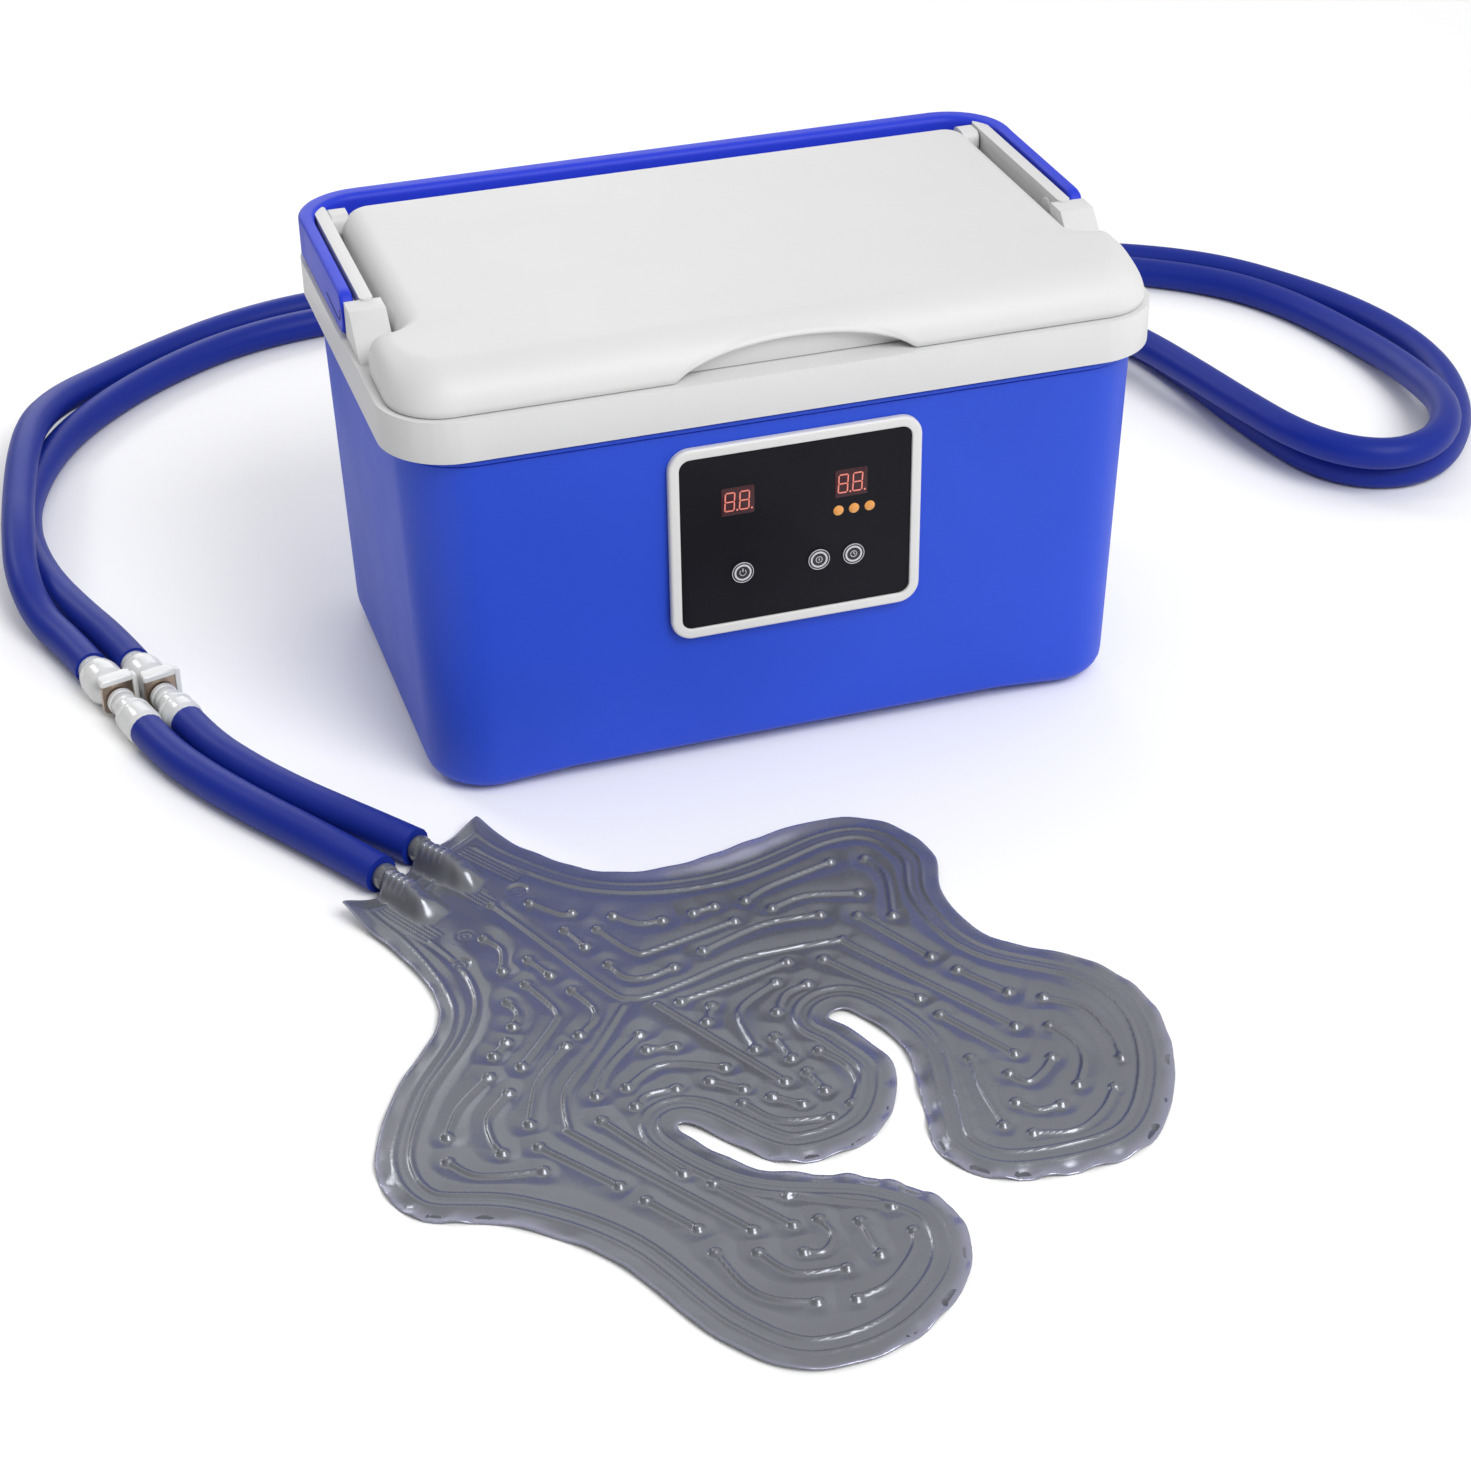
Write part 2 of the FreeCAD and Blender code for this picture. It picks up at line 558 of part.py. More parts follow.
def tube(name, points, radius):
    route = [Vector(*point) for point in points]
    path, radii = bent_path(route)
    ring = Part.Circle(route[0], route[1] - route[0], radius).toShape()
    shape = path.makePipeShell([Part.Wire([ring])], True, False, 2)
    exact = pi * radius ** 2 * path.Length
    print("%s length %.1f, smallest radius %.1f, volume %.4f of exact"
          % (name, path.Length, min(radii), shape.Volume / exact))
    return solid(name, shape)


# Routes of the two hoses, from the gland behind the box, round the loop on the
# right, behind the box and round the left side to the couplings.
SUPPLY_ROUTE = [
    (76, 108.5, 52), (76, 138.5, 52), (84, 170, 47), (106, 206, 41), (146, 234, 35),
    (196, 248, 29), (242, 250, 26.4), (280, 240, 26.4), (304, 216, 26.4), (315, 182, 26.4),
    (324, 140, 26.4), (332, 98, 26.4), (341, 58, 26.4), (356, 30, 26.4), (378, 16, 26.4),
    (403, 20, 26.4), (423, 37, 26.2), (438, 64, 24), (448, 100, 18), (453, 148, 12),
    (448, 200, 8.8), (436, 244, 8.7), (416, 280, 8.7), (386, 308, 8.7), (345, 334, 8.7),
    (286, 362, 8.7), (212, 386, 8.7), (130, 402, 8.7), (40, 411, 8.7), (-46, 416, 8.7),
    (-126, 415, 8.7), (-178, 401, 8.7), (-222, 374, 8.7), (-257, 343, 8.7), (-286, 307, 8.7),
    (-306, 264, 8.7), (-317, 222, 8.7), (-318, 182, 8.7), (-312, 144, 8.7), (-301, 108, 8.7),
    (-290, 78.3, 8.7), (-283, 52, 8.7)]
RETURN_ROUTE = [
    (102, 108.5, 52), (102, 138.5, 52), (110, 172, 41), (134, 208, 25), (172, 240, 12),
    (222, 263, 8.7), (264, 270, 8.7), (298, 262, 8.7), (321, 239, 8.7), (333, 206, 8.7),
    (338, 168, 8.7), (341, 128, 8.7), (346, 92, 8.7), (353, 60, 8.7), (368, 36, 8.7),
    (392, 26, 8.7), (416, 32, 8.7), (438, 52, 8.7), (457, 80, 8.7), (471, 114, 8.7),
    (478, 150, 8.7), (476, 188, 8.7), (466, 226, 8.7), (449, 262, 8.7), (424, 302, 8.7),
    (390, 331, 8.7), (346, 354, 8.7), (286, 382, 8.7), (210, 406, 8.7), (128, 424, 8.7),
    (40, 436, 8.7), (-46, 442, 8.7), (-124, 440, 8.7), (-172, 427, 8.7), (-214, 405, 8.7),
    (-252, 378, 9.5), (-282, 344, 16), (-301, 304, 23), (-311, 258, 26.4), (-318, 214, 26.4),
    (-323, 172, 26.2), (-326, 136, 20), (-321, 106, 11), (-310, 80.1, 8.7), (-303, 54, 8.7)]
PAD_ROUTE_A = [(-285.6, -11, 8.7), (-279.9, -32.3, 8.7), (-266, -62, 8.7), (-250, -90, 8.7),
               (-232, -118, 8.7), (-217, -142.5, 8.7), (-206.6, -160.7, 8.7)]
PAD_ROUTE_B = [(-266.5, -10, 8.7), (-260.9, -31, 8.7), (-248, -58, 8.7), (-231, -86, 8.7),
               (-212, -112, 8.7), (-198, -131, 8.7), (-188, -145, 8.7)]


def make_hoses():
    radius = value("hose_od/2")
    for name, route in (("main_hose_supply", SUPPLY_ROUTE), ("main_hose_return", RETURN_ROUTE),
                        ("pad_hose_a", PAD_ROUTE_A), ("pad_hose_b", PAD_ROUTE_B)):
        tube(name, route, radius)


# ---------------------------------------------------------------- quick couplings
COUPLINGS = {"a": ((-303, 54), (-285.6, -11)), "b": ((-283, 52), (-266.5, -10))}


def make_couplings():
    """Socket on the main hose, sprung latch plate, plug and sleeve on the pad hose.

    Each piece is built along its own +Z, with +Y up, and then laid along the coupling's axis.
    """
    for letter, (start, end) in COUPLINGS.items():
        span = hypot(end[0] - start[0], end[1] - start[1])
        along = Vector(end[0] - start[0], end[1] - start[1], 0)
        lay = Placement(Vector(start[0], start[1], SIZES["coupling_level"]),
                        Rotation(Vector(0, 0, 1).cross(along), Vector(0, 0, 1), along, "ZYX"))
        socket = new_body("coupling_socket_" + letter)
        disc(socket, "coupling_r - 1.5", "0.05", "12")
        disc(socket, "coupling_r + 0.5", "6", "26")
        disc(socket, "coupling_r - 0.5", "25", "31")
        disc(socket, "coupling_r - 1.5", "35", "38")
        disc(socket, "bore_r + 1", "30", "36")
        disc(socket, "bore_r", "18", "40", cutting=True)
        socket.Placement = lay
        latch = new_body("coupling_latch_" + letter)
        plate(latch, "2*coupling_r + 1", "2*coupling_r + 1", "5", "31.6", "34.4", "0", "1.9")
        plate(latch, "2*bore_r + 2.8", "2*bore_r + 4.8", "5.5", "31", "35", "0", "1.1",
              cutting=True)
        latch.Placement = lay
        plug = new_body("coupling_plug_" + letter)
        disc(plug, "bore_r - 0.2", "20", "42")
        disc(plug, "coupling_r - 2", "40", "48")
        disc(plug, "3.4", "47", "%s - 0.3" % round(span, 1))
        disc(plug, "2.2", "19", "%s" % round(span, 1), cutting=True)
        plug.Placement = lay
        sleeve = new_body("hose_sleeve_" + letter)
        disc(sleeve, "coupling_r + 0.2", "48.1", "%s - 0.1" % round(span, 1))
        disc(sleeve, "3.5", "48", "%s" % round(span, 1), cutting=True)
        sleeve.Placement = lay


# ---------------------------------------------------------------- flow pad
PAD_OUTLINE = [
    (-227, -177), (-213, -205), (-203, -240), (-207, -265), (-232, -300), (-248, -340),
    (-240, -371), (-207, -387), (-176, -418), (-152, -468), (-126, -493), (-88, -491),
    (-55, -465), (-48, -431), (-69, -406), (-110, -387), (-131, -359), (-126, -355),
    (-98, -387), (-60, -382), (-40, -349), (-48, -320), (-54, -309), (-44, -308),
    (-32, -337), (-37, -371), (-41, -402), (-19, -424), (32, -424), (62, -390),
    (74, -346), (62, -310), (29, -280), (21, -246), (28, -215), (15, -185),
    (-15, -176), (-76, -189), (-113, -182), (-140, -154), (-156, -127)]
NECK_END = [(-177, -139), (-210, -170)]


def make_pad():
    """Two welded films: a lobed plate with two raised tunnels that hold the barbs."""
    edge = Part.BSplineCurve()
    edge.interpolate([Vector(x, y, 0) for x, y in PAD_OUTLINE])
    ends = [Vector(*PAD_OUTLINE[-1], 0)] + [Vector(x, y, 0) for x, y in NECK_END]
    ends.append(Vector(*PAD_OUTLINE[0], 0))
    sides = [Part.LineSegment(a, b).toShape() for a, b in zip(ends, ends[1:])]
    face = Part.Face(Part.Wire([edge.toShape()] + sides))
    pad = face.extrude(Vector(0, 0, SIZES["pad_thick"]))
    barb_length, barb_bore_r = 26, 2.6
    for letter, route in (("a", PAD_ROUTE_A), ("b", PAD_ROUTE_B)):
        tail = Vector(*route[-1])
        along = (tail - Vector(*route[-2])).normalize()
        tunnel = Part.makeCylinder(SIZES["tunnel_r"], barb_length + 4, tail + along * 1.5, along)
        barb = Part.makeCylinder(SIZES["barb_r"], barb_length, tail, along)
        pad = pad.fuse(tunnel).cut(barb)
        hole = Part.makeCylinder(barb_bore_r, barb_length + 2, tail - along, along)
        solid("pad_barb_" + letter, barb.cut(hole))
    solid("pad", pad.removeSplitter())


# ---------------------------------------------------------------- build and write
make_outer_shell()
make_foam()
make_tank()
make_collar()
make_feet()
make_lid()
make_lid_inside()
make_hinge_pins()
make_handle()
make_panel()
make_pump()
make_ports()
make_hoses()
make_couplings()
make_pad()
doc.recompute()

faults = [item.Label for item in doc.Objects if {"Invalid", "Error"} & set(item.State)]
for name, item in parts.items():
    if item.Shape.isNull() or not item.Shape.isValid():
        faults.append(name)
if faults:
    raise RuntimeError("failed: " + ", ".join(faults))

os.makedirs("parts", exist_ok=True)
for name, item in parts.items():
    item.Shape.exportStep("parts/%s.step" % name)
    bounds = item.Shape.BoundBox
    print("%-22s solids %d  z %.1f..%.1f  volume %.0f" % (
        name, len(item.Shape.Solids), bounds.ZMin, bounds.ZMax, item.Shape.Volume))
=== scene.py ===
"""The looks of a cold water circulation unit with its wrap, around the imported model.

Lengths are in mm until a mesh is made.
"""

import math

import bmesh
import bpy
import numpy as np
from mathutils import Matrix, Vector
from mathutils.geometry import delaunay_2d_cdt


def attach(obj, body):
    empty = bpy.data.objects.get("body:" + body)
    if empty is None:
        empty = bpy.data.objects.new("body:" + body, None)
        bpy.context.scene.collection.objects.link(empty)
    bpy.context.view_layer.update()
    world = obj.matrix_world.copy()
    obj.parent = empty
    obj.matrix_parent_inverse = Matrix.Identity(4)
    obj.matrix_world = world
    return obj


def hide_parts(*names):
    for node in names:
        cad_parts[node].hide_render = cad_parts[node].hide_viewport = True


MM = 0.001
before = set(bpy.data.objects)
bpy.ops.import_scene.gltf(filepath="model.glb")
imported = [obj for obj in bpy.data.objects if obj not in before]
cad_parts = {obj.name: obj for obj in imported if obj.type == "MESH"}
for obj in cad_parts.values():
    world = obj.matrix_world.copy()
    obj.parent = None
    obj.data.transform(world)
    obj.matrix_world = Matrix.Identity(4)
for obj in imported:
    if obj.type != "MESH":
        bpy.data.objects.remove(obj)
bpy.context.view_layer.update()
scene = bpy.context.scene


def placed(name, data):
    """A new object in the scene."""
    thing = bpy.data.objects.new(name, data)
    scene.collection.objects.link(thing)
    return thing


# -------- camera, floor and light

def add_camera():
    """The camera at the product view: from the left, front and above."""
    yaw, pitch, roll = 0.3073, 0.5706, -0.0144
    ahead = Vector((math.sin(yaw) * math.cos(pitch), math.cos(yaw) * math.cos(pitch), -math.sin(pitch)))
    right = ahead.cross(Vector((0, 0, 1))).normalized()
    up = right.cross(ahead)
    level_right = right * math.cos(roll) + up * math.sin(roll)
    level_up = up * math.cos(roll) - right * math.sin(roll)
    data = bpy.data.cameras.new("camera")
    data.lens, data.sensor_width, data.clip_end = 70.55, 36.0, 20.0
    camera = placed("camera", data)
    turn = Matrix((level_right, level_up, -ahead)).transposed().to_4x4()
    camera.matrix_world = Matrix.Translation((-0.3677, -1.1781, 0.7311)) @ turn
    scene.camera = camera


def add_lamp(name, place, target, size, power):
    data = bpy.data.lights.new(name, "AREA")
    data.shape, data.size, data.energy = "DISK", size, power
    lamp = placed(name, data)
    lamp.location = place
    lamp.rotation_euler = (Vector(target) - Vector(place)).to_track_quat("-Z", "Y").to_euler()


# -------- materials

def linear(rgb):
    """Screen values of 0 to 255 as the linear colour that shaders take."""
    return tuple((c / 255 / 12.92) if c < 10.3 else ((c / 255 + 0.055) / 1.055) ** 2.4 for c in rgb) + (1.0,)


def noise_node(tree, scale, detail, stretch=(1, 1, 1)):
    coords = tree.nodes.new("ShaderNodeTexCoord")
    mapping = tree.nodes.new("ShaderNodeMapping")
    mapping.inputs["Scale"].default_value = stretch
    noise = tree.nodes.new("ShaderNodeTexNoise")
    noise.inputs["Scale"].default_value = scale
    noise.inputs["Detail"].default_value = detail
    tree.links.new(coords.outputs["Object"], mapping.inputs["Vector"])
    tree.links.new(mapping.outputs["Vector"], noise.inputs["Vector"])
    return noise.outputs["Fac"]


def ramp_node(tree, value, stops):
    ramp = tree.nodes.new("ShaderNodeValToRGB")
    while len(ramp.color_ramp.elements) < len(stops):
        ramp.color_ramp.elements.new(0.5)
    for element, (place, colour) in zip(ramp.color_ramp.elements, stops):
        element.position, element.color = place, colour
    tree.links.new(value, ramp.inputs["Fac"])
    return ramp.outputs["Color"]


def shade(rgb, factor):
    return tuple(min(1.0, c * factor) for c in linear(rgb)[:3]) + (1.0,)


def material(name, rgb, rough=0.4, vary=0.05, patch=9.0, grain=900.0, bump=0.08, depth=0.0002,
             rough_vary=0.06, metallic=0.0, coat=0.0, specular=0.5, subsurface=0.0, stretch=(1, 1, 1), marks=None):
    """A moulded, coated or metal finish: colour that drifts, a fine grain, and uneven gloss.

    marks names a mesh attribute and the colour that it mixes in.
    """
    made = bpy.data.materials.new(name)
    made.use_nodes = True
    tree = made.node_tree
    shader = tree.nodes["Principled BSDF"]
    patches = noise_node(tree, patch, 4.0)
    colour = ramp_node(tree, patches, [(0.3, shade(rgb, 1 - vary)), (0.7, shade(rgb, 1 + vary))])
    if marks:
        attribute = tree.nodes.new("ShaderNodeAttribute")
        attribute.attribute_name = marks[0]
        mix = tree.nodes.new("ShaderNodeMix")
        mix.data_type = "RGBA"
        mix.inputs["B"].default_value = linear(marks[1])
        tree.links.new(attribute.outputs["Fac"], mix.inputs["Factor"])
        tree.links.new(colour, mix.inputs["A"])
        colour = mix.outputs["Result"]
    tree.links.new(colour, shader.inputs["Base Color"])
    smudges = noise_node(tree, patch * 3.1, 5.0)
    spread = tree.nodes.new("ShaderNodeMapRange")
    spread.inputs["To Min"].default_value = max(0.02, rough - rough_vary)
    spread.inputs["To Max"].default_value = min(1.0, rough + rough_vary)
    tree.links.new(smudges, spread.inputs["Value"])
    tree.links.new(spread.outputs["Result"], shader.inputs["Roughness"])
    fine = noise_node(tree, grain, 2.0, stretch)
    bumped = tree.nodes.new("ShaderNodeBump")
    bumped.inputs["Strength"].default_value = bump
    bumped.inputs["Distance"].default_value = depth
    tree.links.new(fine, bumped.inputs["Height"])
    tree.links.new(bumped.outputs["Normal"], shader.inputs["Normal"])
    settings = {"Metallic": metallic, "Coat Weight": coat, "Specular IOR Level": specular,
                "Subsurface Weight": subsurface}
    for socket, value in settings.items():
        shader.inputs[socket].default_value = value
    if subsurface:
        shader.inputs["Subsurface Radius"].default_value = (0.004, 0.003, 0.003)
        shader.inputs["Subsurface Scale"].default_value = 0.5
    return made


BLUE = material("shell_blue", (34, 71, 196), rough=0.46, grain=1400, bump=0.10, specular=0.28)
HANDLE_BLUE = material("handle_blue", (32, 54, 200), rough=0.48, grain=1400, bump=0.10, specular=0.25)
# The slot colour is painted shade for the handle's pressed slots, laid on the arm instead of a recess.
SLOT_SHADE_BLUE = material("slot_painted_shade", (16, 28, 120), rough=0.5, grain=1400, bump=0.10, specular=0.2)
HOSE_BLUE = material("hose_blue", (17, 39, 136), rough=0.46, vary=0.06, patch=14, grain=1800, bump=0.16,
                     rough_vary=0.05, specular=0.2)
WHITE = material("white_plastic", (207, 207, 207), rough=0.46, vary=0.015, grain=1500, bump=0.06, specular=0.3,
                 subsurface=0.05)
TANK_WHITE = material("tank_white", (216, 219, 220), rough=0.28, vary=0.02, bump=0.04)
FOAM = material("foam", (232, 222, 184), rough=0.9, vary=0.08, patch=40, grain=700, bump=0.5, depth=0.0006)
RUBBER = material("black_rubber", (26, 26, 28), rough=0.72, vary=0.1, grain=1200, bump=0.2)
GASKET = material("grey_gasket", (120, 122, 126), rough=0.6, vary=0.06, grain=1200, bump=0.15)
STEEL = material("steel", (176, 176, 178), rough=0.27, metallic=1.0, grain=300, bump=0.05, stretch=(1, 14, 1))
BEZEL = material("bezel_grey", (212, 211, 210), rough=0.38, vary=0.03, grain=1600, bump=0.08)
PANEL = material("panel_black", (18, 18, 24), rough=0.36, vary=0.12, patch=25, grain=500, bump=0.015, specular=0.12)
DISPLAY = material("display_red", (58, 24, 30), rough=0.25, vary=0.12, patch=60, bump=0.01, specular=0.3)
SEGMENT = material("segment_pink", (236, 132, 116), rough=0.3, vary=0.05, patch=90)
KEY_RING = material("key_ring_grey", (196, 196, 200), rough=0.35, vary=0.04, patch=60)
AMBER = material("amber_lens", (222, 152, 72), rough=0.2, vary=0.08, patch=200, coat=0.3, subsurface=0.2)
BOARD = material("board_green", (24, 92, 52), rough=0.4, vary=0.15, patch=80, grain=500)
BLACK = material("black_plastic", (30, 30, 32), rough=0.45, vary=0.08, grain=1300, bump=0.12)
COPPER = material("copper", (196, 120, 74), rough=0.3, vary=0.1, metallic=1.0, patch=120, stretch=(1, 1, 30), grain=200)
FERRITE = material("ferrite", (58, 58, 62), rough=0.6, vary=0.12, patch=120, grain=900, bump=0.2)
FITTING = material("fitting_white", (214, 215, 214), rough=0.24, vary=0.02, patch=50, bump=0.03, coat=0.2,
                   subsurface=0.1)
LATCH_STEEL = material("latch_steel", (168, 150, 136), rough=0.3, vary=0.1, patch=120, metallic=1.0, grain=400)
BARB = material("barb_clear", (92, 94, 100), rough=0.16, vary=0.08, patch=90, coat=0.5)
# The film mixes in a paler lilac where the pad's rim attribute is set: a band along the edge, the neck's ribs, and a
# painted highlight on the raised upper hem.
FILM = material("pad_film", (119, 121, 128), rough=0.27, vary=0.06, patch=26, grain=900, bump=0.05, depth=0.0003,
                rough_vary=0.04, metallic=0.5, specular=0.6, marks=("rim", (160, 160, 182)))
UNDERSIDE = material("pad_underside", (62, 74, 148), rough=0.5, vary=0.06, grain=1500, bump=0.3)
FLOOR = material("floor", (251, 251, 251), rough=0.6, vary=0.004, patch=2, bump=0.0, specular=0.2)


# -------- lines and rings

OUTWARD = (0, -1, 0)
UPWARD = np.array((0, 0, 1.0))


def unit(vector):
    vector = np.asarray(vector, float)
    return vector / np.linalg.norm(vector)


def smoothstep(value, low, high):
    t = np.clip((value - low) / (high - low), 0, 1)
    return t * t * (3 - 2 * t)


def round_corners(points, closed=False, arc_step=0.2):
    """A line through (x, y, radius) corners, each turned by an arc of its radius."""
    count, line = len(points), []
    for i, (x, y, radius) in enumerate(points):
        corner = np.array((x, y), float)
        if radius <= 0 or (not closed and i in (0, count - 1)):
            line.append(corner)
            continue
        back, ahead = np.array(points[i - 1][:2]) - corner, np.array(points[(i + 1) % count][:2]) - corner
        lengths = np.linalg.norm(back), np.linalg.norm(ahead)
        back, ahead = back / lengths[0], ahead / lengths[1]
        half = math.acos(max(-1.0, min(1.0, float(back @ ahead)))) / 2
        if half > 1.56:
            line.append(corner)
            continue
        reach = min(radius / math.tan(half), 0.49 * min(lengths))
        centre = corner + unit(back + ahead) * reach / math.cos(half)
        start, end = corner + back * reach - centre, corner + ahead * reach - centre
        turn = math.copysign(math.pi - 2 * half, start[0] * end[1] - start[1] * end[0])
        steps = max(2, math.ceil(abs(turn) / arc_step))
        for k in range(steps + 1):
            a = turn * k / steps
            line.append(centre + np.array((start[0] * math.cos(a) - start[1] * math.sin(a),
                                           start[0] * math.sin(a) + start[1] * math.cos(a))))
    return np.array(line)


def resample(points, step, closed=False):
    """The same line with points about a step apart."""
    points = np.vstack([points, points[:1]]) if closed else np.asarray(points)
    runs = np.concatenate([[0], np.cumsum(np.linalg.norm(np.diff(points, axis=0), axis=1))])
    count = max(2, round(runs[-1] / step))
    places = np.linspace(0, runs[-1], count + 1)[: count if closed else count + 1]
    return np.stack([np.interp(places, runs, points[:, k]) for k in range(points.shape[1])], axis=1)


def smooth_line(points, steps):
    """A Catmull-Rom curve through the points."""
    points = np.array(points, float)
    if len(points) < 3:
        return points
    padded = np.vstack([2 * points[0] - points[1], points, 2 * points[-1] - points[-2]])
    line = []
    for i in range(len(points) - 1):
        p0, p1, p2, p3 = padded[i:i + 4]
        for t in np.arange(steps) / steps:
            line.append(0.5 * (2 * p1 + (p2 - p0) * t + (2 * p0 - 5 * p1 + 4 * p2 - p3) * t * t
                               + (3 * p1 - p0 - 3 * p2 + p3) * t ** 3))
    line.append(points[-1])
    return np.array(line)


def rounded_ring(half_x, half_y, radius, z, centre=(0, 0), bulge=0.0, arc=10, side=8):
    """One ring of a rounded rectangle, with sides that may bow out a little."""
    ring = []
    for corner, (sx, sy) in enumerate(((1, 1), (-1, 1), (-1, -1), (1, -1))):
        cx, cy = sx * (half_x - radius), sy * (half_y - radius)
        for k in range(arc + 1):
            a = math.pi / 2 * (corner + k / arc)
            ring.append([cx + radius * math.cos(a), cy + radius * math.sin(a)])
        start, along_x = ring[-1], corner % 2 == 0
        end = (-cx, start[1]) if along_x else (start[0], -cy)
        for k in range(1, side):
            t = k / side
            lift = bulge * math.sin(math.pi * t)
            x, y = start[0] + (end[0] - start[0]) * t, start[1] + (end[1] - start[1]) * t
            ring.append([x, y + math.copysign(lift, y)] if along_x else [x + math.copysign(lift, x), y])
    return [(x + centre[0], y + centre[1], z) for x, y in ring]


def skin(rings, ends=(True, True), loop=False):
    """Vertices and faces over rings of equal length."""
    n, rows = len(rings[0]), len(rings)
    points = [tuple(p) for ring in rings for p in ring]
    faces = []
    for k in range(rows if loop else rows - 1):
        low, high = k * n, (k + 1) % rows * n
        faces += [(low + i, low + (i + 1) % n, high + (i + 1) % n, high + i) for i in range(n)]
    if not loop and ends[0]:
        faces.append(tuple(reversed(range(n))))
    if not loop and ends[1]:
        faces.append(tuple(range((rows - 1) * n, rows * n)))
    return points, faces


def lathe(profile, origin, axis, count=40, loop=False):
    """A (distance along the axis, radius) line turned about the axis."""
    axis, origin = unit(axis), np.asarray(origin, float)
    across = unit(np.cross(axis, (0, 0, 1) if abs(axis[2]) < 0.9 else (1, 0, 0)))
    third = np.cross(axis, across)
    angles = np.arange(count) * 2 * math.pi / count
    spokes = np.cos(angles)[:, None] * across + np.sin(angles)[:, None] * third
    return skin([origin + axis * t + spokes * max(r, 0.01) for t, r in profile], loop=loop)


def piece(name, shapes, finish, body, nodes=(), crease=35):
    """One mesh object made of several (vertices, faces) shapes, riding on a body."""
    points, faces = [], []
    for shape_points, shape_faces in shapes:
        faces += [tuple(i + len(points) for i in face) for face in shape_faces]
        points += [tuple(float(c) * MM for c in p) for p in shape_points]
    mesh = bpy.data.meshes.new(name)
    mesh.from_pydata(points, [], faces)
    made = bmesh.new()
    made.from_mesh(mesh)
    bmesh.ops.remove_doubles(made, verts=made.verts, dist=1e-6)
    bmesh.ops.recalc_face_normals(made, faces=made.faces)
    made.to_mesh(mesh)
    made.free()
    mesh.shade_smooth()
    mesh.set_sharp_from_angle(angle=math.radians(crease))
    mesh.materials.append(finish)
    thing = placed(name, mesh)
    declare(thing, body, nodes)
    return thing


def declare(thing, body, nodes=()):
    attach(thing, body)
    if nodes:
        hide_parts(*nodes)


def softened(node, name, finish, body, width):
    """A copy of a CAD node's mesh with its hard edges rounded."""
    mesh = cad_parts[node].data.copy()
    mesh.name = name
    made = bmesh.new()
    made.from_mesh(mesh)
    bmesh.ops.remove_doubles(made, verts=made.verts, dist=2e-5)
    bmesh.ops.dissolve_degenerate(made, dist=1e-5, edges=made.edges)
    made.to_mesh(mesh)
    made.free()
    mesh.materials.clear()
    mesh.materials.append(finish)
    mesh.shade_smooth()
    thing = placed(name, mesh)
    bevel = thing.modifiers.new("soft_edges", "BEVEL")
    bevel.width, bevel.segments, bevel.limit_method = width * MM, 3, "ANGLE"
    bevel.angle_limit, bevel.harden_normals = math.radians(28), True
    bevel.use_clamp_overlap = True
    declare(thing, body, (node,))


# -------- the hoses

HOSE_DIAMETER = 17.0
RESTING_Z = 8.7


def routed(*points):
    """Route points, those without a height lying on the floor."""
    return [(p[0], p[1], *(p[2:] or (RESTING_Z,))) for p in points]


SUPPLY_ROUTE = routed(
    (76, 108.5, 52), (76, 138.5, 52), (84, 170, 47), (106, 206, 41), (146, 234, 35), (196, 248, 29), (242, 250, 26.4),
    (280, 240, 26.4), (304, 216, 26.4), (315, 182, 26.4), (324, 140, 26.4), (332, 98, 26.4), (341, 58, 26.4),
    (356, 30, 26.4), (378, 16, 26.4), (403, 20, 26.4), (423, 37, 26.2), (438, 64, 24), (448, 100, 18), (453, 148, 12),
    (448, 200, 8.8), (436, 244), (416, 280), (386, 308), (345, 334), (286, 362), (212, 386), (130, 402), (40, 411),
    (-46, 416), (-126, 415), (-178, 401), (-222, 374), (-257, 343), (-286, 307), (-306, 264), (-317, 222),
    (-318, 182), (-312, 144), (-301, 108), (-290, 78.3), (-283, 52))
RETURN_ROUTE = routed(
    (102, 108.5, 52), (102, 138.5, 52), (110, 172, 41), (134, 208, 25), (172, 240, 12), (222, 263), (264, 270),
    (298, 262), (321, 239), (333, 206), (338, 168), (341, 128), (346, 92), (353, 60), (368, 36), (392, 26), (416, 32),
    (438, 52), (457, 80), (471, 114), (478, 150), (476, 188), (466, 226), (449, 262), (424, 302), (390, 331),
    (346, 354), (286, 382), (210, 406), (128, 424), (40, 436), (-46, 442), (-124, 440), (-172, 427), (-214, 405),
    (-252, 378, 9.5), (-282, 344, 16), (-301, 304, 23), (-311, 258, 26.4), (-318, 214, 26.4), (-323, 172, 26.2),
    (-326, 136, 20), (-321, 106, 11), (-310, 80.1), (-303, 54))
PAD_ROUTE_A = routed(
    (-285.6, -11), (-279.9, -32.3), (-266, -62), (-250, -90), (-232, -118), (-217, -142.5), (-206.6, -160.7))
PAD_ROUTE_B = routed(
    (-266.5, -10), (-260.9, -31), (-248, -58), (-231, -86), (-212, -112), (-198, -131), (-188, -145))


def hose(name, route, body, node):
    """A round hose along one smooth spline with the route's points."""
    curve = bpy.data.curves.new(name, "CURVE")
    curve.dimensions = "3D"
    spline = curve.splines.new("NURBS")
    spline.points.add(len(route) - 1)
    for point, place in zip(spline.points, route):
        point.co = [c * MM for c in place] + [1.0]
    spline.order_u = 3
    spline.use_endpoint_u = True
    curve.bevel_depth, curve.bevel_resolution = HOSE_DIAMETER / 2 * MM, 7
    curve.resolution_u, curve.use_fill_caps = 10, True
    curve.materials.append(HOSE_BLUE)
    thing = placed(name, curve)
    declare(thing, body, (node,))
    return thing


